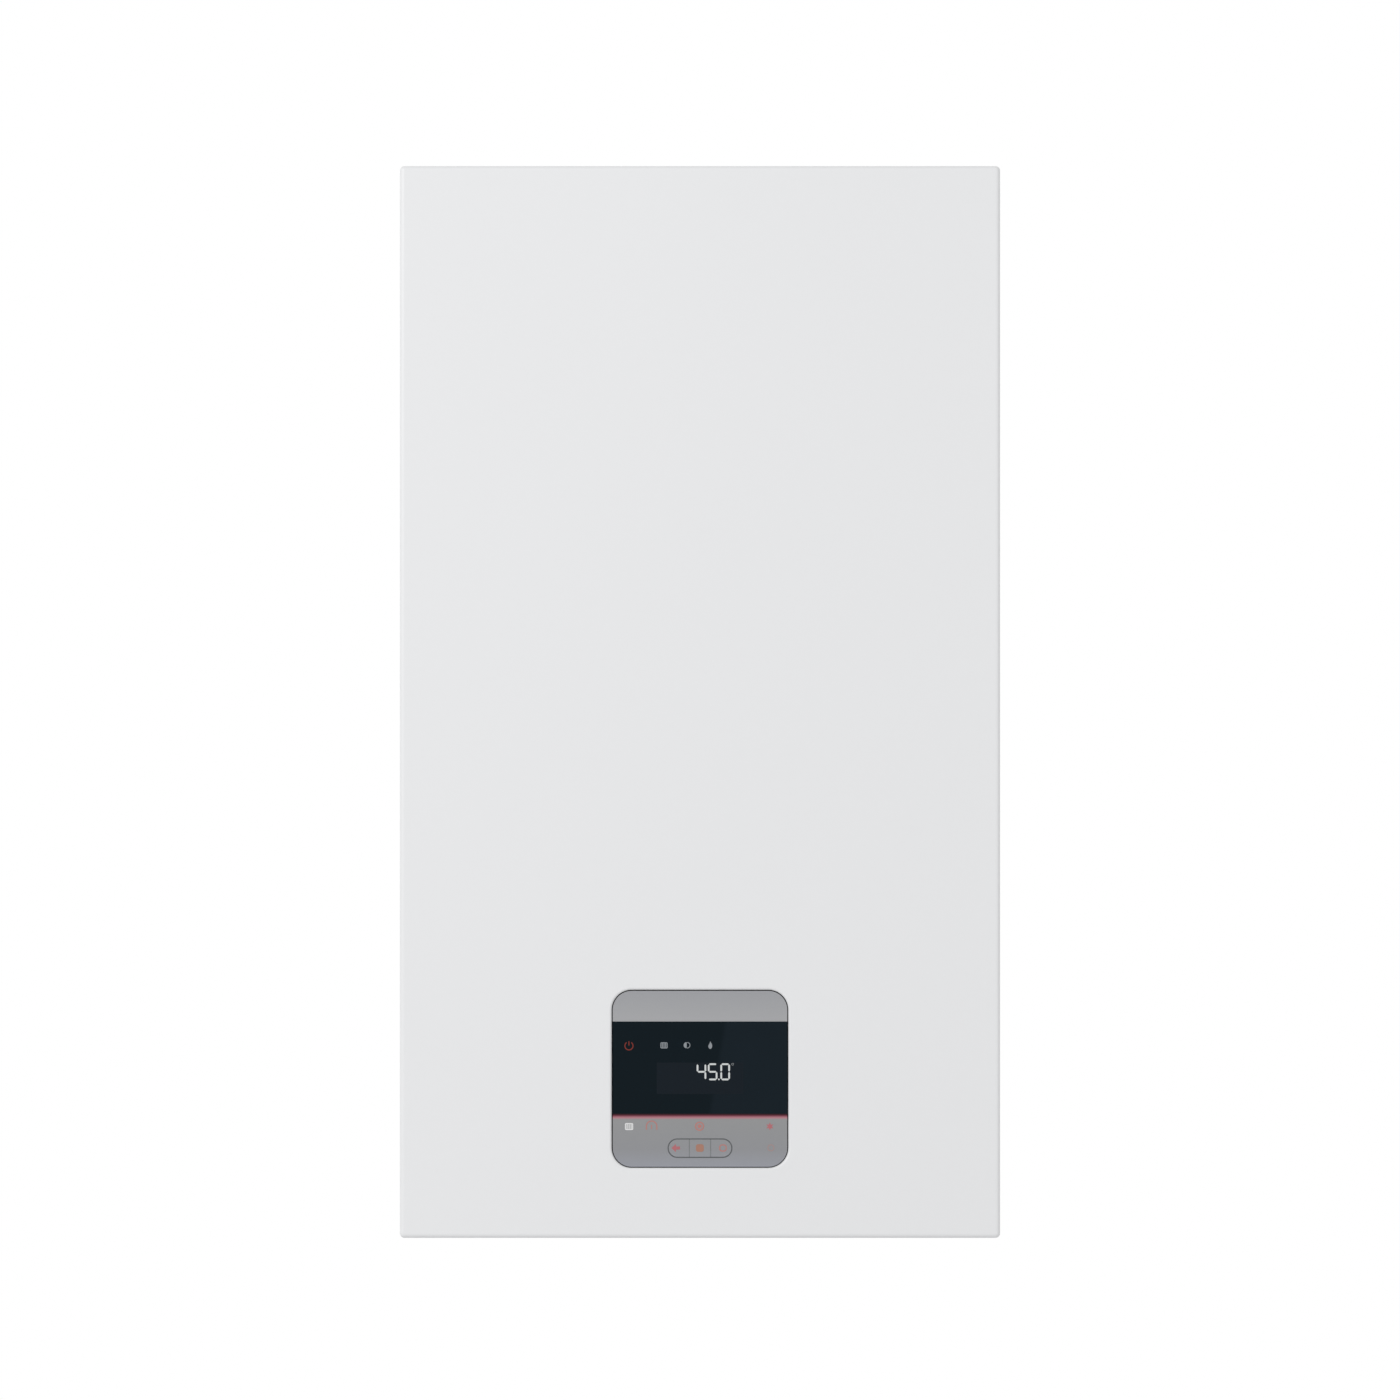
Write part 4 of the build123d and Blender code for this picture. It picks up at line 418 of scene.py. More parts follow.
def finishInk(tree, shader, grain, roughness):
    tree.links.new(addShare(tree, roughness, grain, ink["roughnessShare"]), shader.inputs["Roughness"])
    tree.links.new(addBump(tree, grain, ink["bumpStrength"], ink["bump"]), shader.inputs["Normal"])
    shader.inputs["Specular IOR Level"].default_value = ink["specular"]


# printed or lit marks: body colour with a slight unevenness, and some light of their own
def makeInk(name, colour, glow=0.0, uneven=0.15, roughness=0.5):
    material, tree, shader = newMaterial(name)
    grain = addNoise(tree, addPlace(tree), ink["grainScale"], detail=3.0)
    tone = addMix(tree, addMath(tree, "MULTIPLY", grain, uneven), colour,
                  tuple(ink["darkest"] * value for value in colour))
    tree.links.new(tone, shader.inputs["Base Color"])
    finishInk(tree, shader, grain, roughness)
    if glow:
        tree.links.new(tone, shader.inputs["Emission Color"])
        shader.inputs["Emission Strength"].default_value = glow
    return material


fasciaSilver, darkGlassPaintedSheen = makeFascia(), makeGlass()

# the CAD nodes by finish
finishNodes = [
    (whiteCoat, "top_panel left_side_panel right_side_panel front_casing"),
    (zincSheet, "wall_bracket back_panel bottom_panel front_crossbar cell_bracket"),
    (boltZinc, "panel_screws hinge_pins casing_screws door_nuts"),
    (stainless, "heat_exchanger_shell heat_exchanger_coil burner_tube plate_heat_exchanger diverter_stem"),
    (castAlloy, "burner_door mixing_elbow fan_housing fan_rotor gas_valve"),
    (castBrass, "return_block flow_block pipe_connections safety_valve filling_tap flow_sensor"),
    (drawnCopper, "gas_pipes heating_pipes water_pipes"),
    (redEnamel, "vessel_shells"),
    (boxPlastic, "control_box control_box_cover"),
    (blackPlastic, "fan_motor air_intake pump_motor cable_glands"),
    (compositeGrey, "pump_housing pump_rotor"),
    (actuatorGrey, "diverter_actuator"),
    (fluePlastic, "flue_collar flue_pipe"),
    (trapPlastic, "condensate_trap condensate_cup condensate_hose"),
    (sealFoam, "casing_seal"),
    (gasketBlack, "burner_gasket vessel_diaphragm"),
    (ceramicWhite, "ignition_electrode flow_turbine"),
    (boardGreen, "circuit_board"),
    (fasciaSilver, "fascia_frame key_left key_menu key_right"),
    (darkGlassPaintedSheen, "display_glass"),
    (knobRed, "safety_valve_knob"),
    (knobBlue, "filling_knob"),
]
for material, names in finishNodes:
    for name in names.split():
        for materialSlot in nodes[name].material_slots:
            materialSlot.material = material
print("finishes assigned:", len(finishNodes))


def addPiece(name, mesh, material, body):
    mesh.validate()
    piece = bpy.data.objects.new(name, mesh)
    bpy.context.scene.collection.objects.link(piece)
    mesh.materials.append(material)
    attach(piece, body)


def faceOutwards(mesh):
    form = bmesh.new()
    form.from_mesh(mesh)
    bmesh.ops.recalc_face_normals(form, faces=form.faces)
    form.to_mesh(mesh)
    form.free()


# closed prisms between two depths; each outline runs anticlockwise seen from the front
def prismMesh(name, outlines, front, back):
    mesh, verts, faces = bpy.data.meshes.new(name), [], []
    for outline in outlines:
        first, count = len(verts), len(outline)
        verts += [(x, front, z) for x, z in outline] + [(x, back, z) for x, z in outline]
        faces.append([first + k for k in range(count)])
        faces.append([first + count + k for k in reversed(range(count))])
        for k in range(count):
            after = (k + 1) % count
            faces.append([first + after, first + k, first + count + k, first + count + after])
    mesh.from_pydata(verts, [], faces)
    return mesh


sharpestMitre = 0.5     # keeps the corners of a strip from growing into spikes


# closed strips of even width along lines of points: (points, width, closed)
def stripMesh(name, lines, front, back):
    mesh, verts, faces = bpy.data.meshes.new(name), [], []
    for points, width, closed in lines:
        count, first = len(points), len(verts)
        for k, (x, z) in enumerate(points):
            before = Vector(points[k - 1]) if closed or k else Vector(points[k])
            after = Vector(points[(k + 1) % count]) if closed or k < count - 1 else Vector(points[k])
            inward, outward = Vector((x, z)) - before, after - Vector((x, z))
            inward = inward.normalized() if inward.length else outward.normalized()
            outward = outward.normalized() if outward.length else inward
            tangent = (inward + outward).normalized()
            side = Vector((-tangent.y, tangent.x)) * (width / 2 / max(sharpestMitre, tangent.dot(outward)))
            for sign in (1, -1):
                sideX, sideZ = x + sign * side.x, z + sign * side.y
                verts += [(sideX, front, sideZ), (sideX, back, sideZ)]
        spans = count if closed else count - 1
        for k in range(spans):
            a, b = first + 4 * k, first + 4 * ((k + 1) % count)
            faces += [[a, b, b + 2, a + 2], [a + 1, a + 3, b + 3, b + 1], [a, a + 1, b + 1, b],
                      [a + 2, b + 2, b + 3, a + 3]]
        if not closed:
            last = first + 4 * spans
            faces += [[first, first + 2, first + 3, first + 1], [last, last + 1, last + 3, last + 2]]
    mesh.from_pydata(verts, [], faces)
    faceOutwards(mesh)
    return mesh


# points of a circle or an arc, in degrees; a full circle doesn't repeat its first point
def circlePoints(x, z, radius, start=0.0, sweep=360.0, steps=40):
    count = steps if sweep >= 360.0 else steps + 1
    angles = [math.radians(start + sweep * k / steps) for k in range(count)]
    return [(x + radius * math.cos(angle), z + radius * math.sin(angle)) for angle in angles]


# a rectangle with rounded corners, from the settings of its piece
def rectanglePoints(shape, steps=5):
    acrossHalf, upHalf = shape["width"] / 2 - shape["corner"], shape["height"] / 2 - shape["corner"]
    points = []
    for sideX, sideZ, start in ((1, 1, 0), (-1, 1, 90), (-1, -1, 180), (1, -1, 270)):
        cornerX, cornerZ = shape["x"] + sideX * acrossHalf, shape["z"] + sideZ * upHalf
        points += circlePoints(cornerX, cornerZ, shape["corner"], start, 90, steps)
    return points


# millimetres from the casing's middle and its lower edge, as a place on the front
def at(x, z):
    return x * mm, baseHeight + z * mm


# a drawing in millimetres, moved to a place on the front
def onFace(points, x=0.0, z=0.0, size=1.0):
    return [at(x + size * px, z + size * pz) for px, pz in points]


inkRise, inkDepth = 0.00006, 0.00012     # how far a mark stands off its surface and reaches into it


def addInk(name, material, body="control_box", strips=(), shapes=(), rise=inkRise):
    front, back = faceFront - rise, faceFront + inkDepth
    if strips:
        lines = [(points, width * mm, closed) for points, width, closed in strips]
        addPiece(name + "_lines", stripMesh(name + "_lines", lines, front, back), material, body)
    if shapes:
        addPiece(name + "_fields", prismMesh(name + "_fields", shapes, front, back), material, body)


litBright = makeInk("litBright", (0.55, 0.57, 0.57), glow=0.18)
litGrey = makeInk("litGrey", (0.25, 0.27, 0.29), glow=0.08)
litSoft = makeInk("litSoft", (0.20, 0.21, 0.22), glow=0.10)
litRed = makeInk("litRed", (0.15, 0.024, 0.018), glow=0.3)
panelDark = makeInk("panelDark", (0.0006, 0.0050, 0.0102), uneven=0.3, roughness=0.35)
whiteInk = makeInk("whiteInk", (0.80, 0.80, 0.80))
salmonInk = makeInk("salmonInk", (0.48, 0.21, 0.19))
pinkInk = makeInk("pinkInk", (0.46, 0.16, 0.175))
faintInk = makeInk("faintInk", (0.38, 0.26, 0.25))
brownInk = makeInk("brownInk", (0.40, 0.21, 0.155))
outlineInk = makeInk("outlineInk", (0.15, 0.16, 0.165), uneven=0.25)

# display: a slightly lighter field, and the set temperature with its point and degree mark
field = {"x": 0.0, "z": 104.3, "width": 56.6, "height": 20.6, "corner": 0.8, "rise": 0.00002}
digit = {"width": 6.3, "height": 11.1, "stroke": 1.15, "gap": 0.15, "low": 103.0}
figureLefts = (("4", -2.2), ("5", 5.1), ("0", 13.3))
point = {"x": 12.35, "z": 103.6, "radius": 0.55}
degree = {"x": 21.3, "z": 113.5, "radius": 0.65, "line": 0.35}
segmentsOn = {"4": "bcfg", "5": "acdfg", "0": "abcdef"}


# the lit strokes of one figure, as pointed bars
def digitSegments(character, left):
    half, gap = digit["stroke"] / 2, digit["gap"]
    near, far = left + half, left + digit["width"] - half
    low, high = digit["low"] + half, digit["low"] + digit["height"] - half
    middle = (low + high) / 2
    ends = {"a": ((near, high), (far, high)), "b": ((far, middle), (far, high)),
            "c": ((far, low), (far, middle)), "d": ((near, low), (far, low)),
            "e": ((near, low), (near, middle)), "f": ((near, middle), (near, high)),
            "g": ((near, middle), (far, middle))}
    bars = []
    for label in segmentsOn[character]:
        (ax, az), (bx, bz) = ends[label]
        if az == bz:
            points = [(ax + gap, az), (ax + gap + half, az - half), (bx - gap - half, az - half),
                      (bx - gap, az), (bx - gap - half, az + half), (ax + gap + half, az + half)]
        else:
            points = [(ax, az + gap), (ax + half, az + gap + half), (ax + half, bz - gap - half),
                      (ax, bz - gap), (ax - half, bz - gap - half), (ax - half, az + gap + half)]
        bars.append(onFace(points))
    return bars


addInk("display_field", panelDark, rise=field["rise"],
       shapes=[onFace(rectanglePoints(field))])
figures = [bar for character, left in figureLefts for bar in digitSegments(character, left)]
figures.append(onFace(circlePoints(point["x"], point["z"], point["radius"], steps=16)))
addInk("display_figures", litBright, shapes=figures)
degreeRing = onFace(circlePoints(degree["x"], degree["z"], degree["radius"], steps=20))
addInk("display_degree", litSoft, strips=[(degreeRing, degree["line"], True)])

# on and off field: a ring open at the top, and a bar
power = {"x": -46.4, "z": 125.5, "radius": 2.65, "opening": 70.0, "barLow": 0.2, "barHigh": 3.0, "line": 0.7}
powerRing = circlePoints(0.0, 0.0, power["radius"], 90.0 + power["opening"] / 2, 360.0 - power["opening"])
powerBar = [(0.0, power["barLow"]), (0.0, power["barHigh"])]
addInk("touch_power", litRed, strips=[
    (onFace(points, power["x"], power["z"]), power["line"], False) for points in (powerRing, powerBar)])

# heating field above the display, and the radiator sign on the lower band
touchHeating = {"x": -23.5, "z": 125.8, "width": 4.1, "height": 3.4, "corner": 0.5, "line": 0.55,
                "barSpacing": 1.1, "barHalf": 1.5, "barLine": 0.65}
signRadiator = {"x": -46.3, "z": 72.8, "width": 4.7, "height": 3.9, "corner": 0.5, "line": 0.65,
                "barSpacing": 1.3, "barHalf": 1.7, "barLine": 0.7}


# an outline with three upright bars
def radiatorLines(sign):
    strips = [(onFace(rectanglePoints(sign)), sign["line"], True)]
    for place in (-1, 0, 1):
        x = sign["x"] + place * sign["barSpacing"]
        bar = [(x, sign["z"] - sign["barHalf"]), (x, sign["z"] + sign["barHalf"])]
        strips.append((onFace(bar), sign["barLine"], False))
    return strips


addInk("touch_heating", litGrey, strips=radiatorLines(touchHeating))

# tap field: a half disc against a half ring
tap = {"z": 125.9, "discX": -8.7, "discRadius": 2.0, "ringX": -8.4, "ringRadius": 1.85, "line": 0.45}
tapDisc = onFace(circlePoints(tap["discX"], tap["z"], tap["discRadius"], 90.0, 180.0, 24))
tapRing = onFace(circlePoints(tap["ringX"], tap["z"], tap["ringRadius"], -90.0, 180.0, 24))
addInk("touch_tap", litGrey, shapes=[tapDisc], strips=[(tapRing, tap["line"], False)])

# flame field
flame = {"x": 6.7, "z": 126.0, "size": 0.85,
         "outline": [(-0.35, 1.7), (-0.75, 0.9), (-1.1, 0.3), (-1.5, -0.6), (-1.35, -1.7), (-0.7, -2.7),
                     (0.0, -3.0), (0.7, -2.7), (1.35, -1.7), (1.5, -0.5), (1.25, 0.8), (0.55, 1.9),
                     (0.0, 3.0)]}
addInk("touch_flame", litGrey,
       shapes=[onFace(flame["outline"], flame["x"], flame["z"], flame["size"])])

# thin red line along the lower edge of the glass, fading from dark red into the silver below
redLine = {
    "low": 77.7, "high": 81.2, "rise": 0.00004, "roughness": 0.45,
    "stops": ((0.0, (0.36, 0.27, 0.28)), (0.26, (0.44, 0.200, 0.235)), (0.52, (0.265, 0.085, 0.112)),
              (0.74, (0.072, 0.012, 0.021)), (1.0, (0.012, 0.003, 0.006))),
}
lineLow, lineHigh = at(0.0, redLine["low"])[1], at(0.0, redLine["high"])[1]
lineHalf = (glassBox[1].x - glassBox[0].x) / 2


def makeFadingRed():
    material, tree, shader = newMaterial("fadingRed")
    place = addPlace(tree)
    fade = addHeightRamp(tree, place, lineLow, lineHigh, redLine["stops"])
    tree.links.new(fade, shader.inputs["Base Color"])
    finishInk(tree, shader, addNoise(tree, place, ink["grainScale"], detail=3.0), redLine["roughness"])
    return material


addInk("red_line", makeFadingRed(), rise=redLine["rise"], shapes=[
    [(-lineHalf, lineLow), (lineHalf, lineLow), (lineHalf, lineHigh), (-lineHalf, lineHigh)]])

# printed signs on the lower band: radiator, arch, ring, star and a faint ring
addInk("sign_radiator", whiteInk, strips=radiatorLines(signRadiator))

arch = {"x": -31.6, "z": 73.0, "radius": 3.4, "foot": 70.7, "line": 0.7, "barLow": 71.2, "barHigh": 74.0,
        "barLine": 0.6}
archLine = [(arch["x"] - arch["radius"], arch["foot"])]
archLine += circlePoints(arch["x"], arch["z"], arch["radius"], 180.0, -180.0, 24)
archLine.append((arch["x"] + arch["radius"], arch["foot"]))
addInk("sign_arch", salmonInk, strips=[
    (onFace(archLine), arch["line"], False),
    (onFace([(arch["x"], arch["barLow"]), (arch["x"], arch["barHigh"])]), arch["barLine"], False)])

ring = {"x": -0.3, "z": 73.0, "radius": 2.6, "line": 0.8, "dot": 1.3}
addInk("sign_ring", salmonInk,
       strips=[(onFace(circlePoints(ring["x"], ring["z"], ring["radius"])), ring["line"], True)],
       shapes=[onFace(circlePoints(ring["x"], ring["z"], ring["dot"], steps=24))])

star = {"x": 45.6, "z": 72.9, "outer": 2.7, "inner": 1.25, "points": 6}
starTips = circlePoints(0.0, 0.0, star["outer"], 90.0, steps=star["points"])
starNotches = circlePoints(0.0, 0.0, star["inner"], 90.0 + 180.0 / star["points"], steps=star["points"])
starOutline = [corner for pair in zip(starTips, starNotches) for corner in pair]
addInk("sign_right", pinkInk, shapes=[onFace(starOutline, star["x"], star["z"])])

faintRing = {"x": 46.3, "z": 58.9, "radius": 2.0, "line": 0.55}
faintLine = circlePoints(faintRing["x"], faintRing["z"], faintRing["radius"], steps=24)
addInk("sign_faint", faintInk, strips=[(onFace(faintLine), faintRing["line"], True)])

# pill-shaped row of keys: printed outline on the face, one sign on each key
keyRow = {"z": 58.7, "width": 41.0, "height": 11.4, "outline": 0.45, "gap": 0.25}
leftSign = {"x": -15.8, "z": 58.8, "outline": [(-2.9, 0.0), (0.1, -2.7), (0.1, -1.0), (2.7, -1.0), (2.7, 1.0),
                                               (0.1, 1.0), (0.1, 2.7)]}
middleSign = {"x": -0.1, "z": 58.8, "width": 5.2, "height": 5.0, "corner": 1.6}
rightSign = {"x": 15.0, "z": 58.8, "width": 4.2, "height": 4.0, "corner": 1.5, "line": 0.7}

pillEnd = (keyRow["width"] - keyRow["height"]) / 2
pillRadius = (keyRow["height"] + keyRow["outline"]) / 2 + keyRow["gap"]
pillLine = circlePoints(pillEnd, keyRow["z"], pillRadius, -90, 180, 24)
pillLine += circlePoints(-pillEnd, keyRow["z"], pillRadius, 90, 180, 24)
addInk("key_outline", outlineInk, strips=[(onFace(pillLine), keyRow["outline"], True)])
addInk("key_sign_left", pinkInk, body="key_left",
       shapes=[onFace(leftSign["outline"], leftSign["x"], leftSign["z"])])
addInk("key_sign_middle", brownInk, body="key_menu", shapes=[onFace(rectanglePoints(middleSign))])
addInk("key_sign_right", salmonInk, body="key_right",
       strips=[(onFace(rectanglePoints(rightSign)), rightSign["line"], True)])
print("face marks drawn")


# small fittings behind the front casing
# their places are in millimetres from the casing's middle, the wall and the casing's lower edge
def spot(x, y, z):
    return Vector((x * mm, y * mm, baseHeight + z * mm))


def turnTo(axis):
    return Vector(axis).to_track_quat("Z", "Y").to_matrix()


# a closed turned form; the profile lists (radius, height) in millimetres, radius 0 at both ends
def turnedPart(profile, origin, axis, steps=24):
    turn = turnTo(axis)
    verts, rings, faces = [], [], []
    for radius, height in profile:
        count = 1 if radius == 0 else steps
        rings.append((len(verts), count))
        for k in range(count):
            angle = 2 * math.pi * (k + 0.5) / steps
            local = Vector((radius * math.cos(angle) * mm, radius * math.sin(angle) * mm, height * mm))
            verts.append(origin + turn @ local)
    for (low, lowCount), (high, highCount) in zip(rings, rings[1:]):
        for k in range(steps):
            after = (k + 1) % steps
            face = [low + k, low + after] if lowCount > 1 else [low]
            face += [high + after, high + k] if highCount > 1 else [high]
            faces.append(face)
    return verts, faces


# a closed loop of a section, (distance from the axis, height) in millimetres, turned round an axis
def bandPart(section, origin, axis, steps=32):
    turn, count = turnTo(axis), len(section)
    verts, faces = [], []
    for k in range(steps):
        angle = 2 * math.pi * k / steps
        for radius, up in section:
            local = Vector((radius * math.cos(angle) * mm, radius * math.sin(angle) * mm, up * mm))
            verts.append(origin + turn @ local)
    for k in range(steps):
        a, b = count * k, count * ((k + 1) % steps)
        faces += [[a + j, b + j, b + (j + 1) % count, a + (j + 1) % count] for j in range(count)]
    return verts, faces


def ringPart(inner, outer, height, origin, axis, steps=32):
    return bandPart([(inner, 0), (outer, 0), (outer, height), (inner, height)], origin, axis, steps)


# a six-sided nut with chamfered corners, centred on its place; its shape is in shares of its radius
nutShape = {"flat": 0.9, "chamfer": 0.12}


def nutPart(radius, height, origin, axis):
    half, flat, slope = height / 2, nutShape["flat"] * radius, nutShape["chamfer"] * radius
    return turnedPart([(0, -half), (flat, -half), (radius, slope - half), (radius, half - slope),
                       (flat, half), (0, half)], origin, axis, steps=6)


# a low domed screw head with a socket, in shares of its radius
screwProfile = [(0, -0.3), (1.0, -0.3), (1.0, 0.25), (0.86, 0.5), (0.5, 0.62), (0.42, 0.62), (0.42, 0.2),
                (0, 0.2)]


def screwPart(radius, origin, axis):
    return turnedPart([(radius * out, radius * up) for out, up in screwProfile], origin, axis, steps=18)


# a box in millimetres with broken edges, centred on its place
def blockPart(size, origin, edge):
    form = bmesh.new()
    bmesh.ops.create_cube(form, size=1.0)
    bmesh.ops.scale(form, vec=Vector(size) * mm, verts=form.verts)
    bmesh.ops.bevel(form, geom=form.edges[:], offset=edge * mm, segments=2, affect="EDGES")
    bmesh.ops.translate(form, vec=origin, verts=form.verts)
    form.verts.index_update()
    verts, faces = [v.co.copy() for v in form.verts], [[v.index for v in f.verts] for f in form.faces]
    form.free()
    return verts, faces


# points of a smooth curve through the given places
def smoothLine(places, steps):
    path = [places[0] * 2 - places[1]] + list(places) + [places[-1] * 2 - places[-2]]
    line = []
    for k in range(1, len(path) - 2):
        a, b, c, d = path[k - 1:k + 3]
        for j in range(steps):
            t = j / steps
            line.append(0.5 * (2 * b + (c - a) * t + (2 * a - 5 * b + 4 * c - d) * t ** 2
                               + (3 * b - a - 3 * c + d) * t ** 3))
    return line + [places[-1].copy()]


# a round cable through places in millimetres, with closed ends
def cablePart(radius, places, sides=10, steps=8):
    line = smoothLine([spot(*place) for place in places], steps)
    verts, faces, side = [], [], Vector((0.31, 0.67, 0.53))     # side: any direction that no cable follows
    for k, place in enumerate(line):
        along = (line[min(k + 1, len(line) - 1)] - line[max(k - 1, 0)]).normalized()
        side = (side - along * side.dot(along)).normalized()
        other = along.cross(side)
        for j in range(sides):
            angle = 2 * math.pi * j / sides
            verts.append(place + (side * math.cos(angle) + other * math.sin(angle)) * radius * mm)
    for k in range(len(line) - 1):
        a, b = k * sides, (k + 1) * sides
        faces += [[a + j, a + (j + 1) % sides, b + (j + 1) % sides, b + j] for j in range(sides)]
    faces += [list(range(sides))[::-1], [len(verts) - sides + j for j in range(sides)]]
    return verts, faces


# several small forms as one piece, smooth but for its edges
sharpAngle = math.radians(35)


def addParts(name, parts, material, body="chassis"):
    verts, faces = [], []
    for partVerts, partFaces in parts:
        faces += [[index + len(verts) for index in face] for face in partFaces]
        verts += partVerts
    mesh = bpy.data.meshes.new(name)
    mesh.from_pydata(verts, [], faces)
    faceOutwards(mesh)
    addPiece(name, mesh, material, body)
    mesh.shade_smooth()
    mesh.set_sharp_from_angle(angle=sharpAngle)


# places on a bolt circle and at the corners of a rectangle, from its middle
def onCircle(radius, degrees):
    angles = [math.radians(value) for value in degrees]
    return [(radius * math.cos(angle), radius * math.sin(angle)) for angle in angles]


def atCorners(halfWidth, halfHeight):
    return [(x, z) for x in (-halfWidth, halfWidth) for z in (-halfHeight, halfHeight)]


sideways, forward, backward, upward = (1, 0, 0), (0, -1, 0), (0, 1, 0), (0, 0, 1)

# where the main groups are, in millimetres, as in the CAD
pipeRow = -99.96                   # depth of the pipe connections
heatingX, waterX = 130.0, 65.0     # pipes left and right of the gas pipe in the middle
cellX, cellZ = -45.1, 470.0        # axis of the burner cell
fanX, fanY = 127.86, -150.0        # axis of the fan, over the gas valve
valveZ = 298.8                     # middle of the gas valve
elbowX = 93.86                     # where the mixing elbow meets the fan
plateZ = 150.0                     # middle of the plate heat exchanger
plateX, portOffset = 65.0, 22.0    # its ports, left and right, above and below
portFace = -64.5

# union nuts where pipes meet blocks, ports and necks: radius, height, place, axis
unions = {
    "flow_neck": (14.0, 12.0, (-95.1, -100.0, 357.0), upward),
    "return_neck": (14.0, 12.0, (4.9, -100.0, 357.0), upward),
    "valve_inlet": (14.0, 10.0, (-heatingX, -129.5, 146.0), forward),
    "pump_outlet": (14.0, 12.0, (155.0, pipeRow, 205.0), upward),
    "link_side": (11.5, 10.0, (-98.0, pipeRow, 172.0), sideways),
    "link_port": (11.5, 6.0, (-plateX, portFace, plateZ + portOffset), forward),
    "hot_port": (11.5, 6.0, (-plateX, portFace, plateZ - portOffset), forward),
    "cold_port": (11.5, 6.0, (plateX, portFace, plateZ - portOffset), forward),
    "branch_port": (11.5, 4.0, (plateX, portFace + 1.5, plateZ + portOffset), forward),
    "hot_end": (12.5, 12.0, (-waterX, pipeRow, 53.0), upward),
    "cold_end": (12.0, 10.0, (waterX, pipeRow, 106.0), upward),
    "gas_end": (13.0, 12.0, (0.0, pipeRow, 53.0), upward),
    "gas_inlet": (13.0, 11.0, (fanX, fanY, 254.0), upward),
    "gas_outlet": (10.0, 9.0, (fanX + 16.5, fanY, 342.0), upward),
    "gas_port": (10.0, 7.0, (161.5, fanY, 428.6), sideways),
    "vessel_port": (9.0, 9.0, (130.0, -30.8, 228.0), upward),
}
nuts = [nutPart(radius, height, spot(*place), axis) for radius, height, place, axis in unions.values()]
addParts("union_nuts", nuts, castBrass)

# pipe threads under the boiler: ridges round each stub
threads = {"pitch": 1.8, "ridge": 1.62, "depth": 0.7, "sunk": 0.2, "low": 9.0, "high": 30.0,
           "stubs": ((-heatingX, 13.2), (-waterX, 10.5), (0.0, 10.5), (waterX, 10.5), (heatingX, 13.2))}
turns = int((threads["high"] - threads["low"]) / threads["pitch"])
levels = [threads["low"] + k * threads["pitch"] for k in range(turns)]
ridges = []
for x, radius in threads["stubs"]:
    inner = radius - threads["sunk"]
    ridge = [(inner, 0.0), (inner + threads["depth"], threads["ridge"] / 2), (inner, threads["ridge"])]
    ridges += [bandPart(ridge, spot(x, pipeRow, level), upward) for level in levels]
addParts("connection_threads", ridges, castBrass)

# screws: radius, places, axis
screwSets = {
    "fan": (3.0, [(fanX + x, fanY + y, 490.0) for x, y in onCircle(46.0, range(30, 390, 60))], upward),
    "elbow_door": (3.0, [(cellX + x, -232.0, cellZ + z) for x, z in onCircle(25.0, (90, 210, 330))], forward),
    "elbow_fan": (2.4, [(elbowX + x, -210.0, cellZ + z) for x, z in onCircle(22.8, (90, 210, 330))], forward),
    "gas_valve": (2.8, [(fanX + x, -178.0, valveZ + z) for x, z in atCorners(27.5, 31.0)], forward),
    "cell_bracket": (5.0, [(x, -77.5, cellZ + z) for x, z in atCorners(182.0, 76.0)], forward),
    "lid": (3.4, [(x, -125.0 - y, 700.0) for x, y in atCorners(188.0, 75.0)], upward),
    "actuator": (2.4, [(-heatingX + x, -122.96, 225.0 + z) for x, z in atCorners(17.0, 17.0)], forward),
}
screws = [screwPart(radius, spot(*place), axis) for radius, places, axis in screwSets.values()
          for place in places]
addParts("fixing_screws", screws, boltZinc)
coverScrews = {"radius": 3.0, "y": -205.0, "across": (-150.0, -50.0, 50.0, 150.0), "heights": (38.0, 180.0)}
screws = [screwPart(coverScrews["radius"], spot(x, coverScrews["y"], z), backward)
          for x in coverScrews["across"] for z in coverScrews["heights"]]
addParts("cover_screws", screws, boltZinc, body="control_box")

# vent plug in the middle of the pump
ventPlug = {"place": (heatingX, -184.0, 150.0),
            "profile": [(0, -2), (13, -2), (13, 1.2), (11.5, 2.6), (7.5, 2.6), (7.0, 1.6), (2.2, 1.6),
                        (2.2, 3.0), (0, 3.0)]}
addParts("pump_vent_plug", [turnedPart(ventPlug["profile"], spot(*ventPlug["place"]), forward, 40)],
         castBrass)

# nuts on the gas valve's two coils
coilNut = {"radius": 6.0, "height": 4.0, "y": -201.5, "apart": 15.0, "rise": 3.0}
nuts = [nutPart(coilNut["radius"], coilNut["height"],
                spot(fanX + side * coilNut["apart"], coilNut["y"], valveZ + side * coilNut["rise"]), forward)
        for side in (-1, 1)]
addParts("coil_nuts", nuts, boltZinc)

# boot on the ignition electrode, which stands on the burner door's bolt circle
boot = {"radius": 50.0, "angle": 127.0, "y": -240.0,
        "profile": [(0, -3), (5.6, -3), (5.9, 3), (5.2, 9), (4.2, 12), (3.0, 13), (0, 13)]}
bootX, bootZ = [middle + offset for middle, offset in
                zip((cellX, cellZ), onCircle(boot["radius"], [boot["angle"]])[0])]
addParts("ignition_boot", [turnedPart(boot["profile"], spot(bootX, boot["y"], bootZ), forward, 24)],
         blackPlastic)

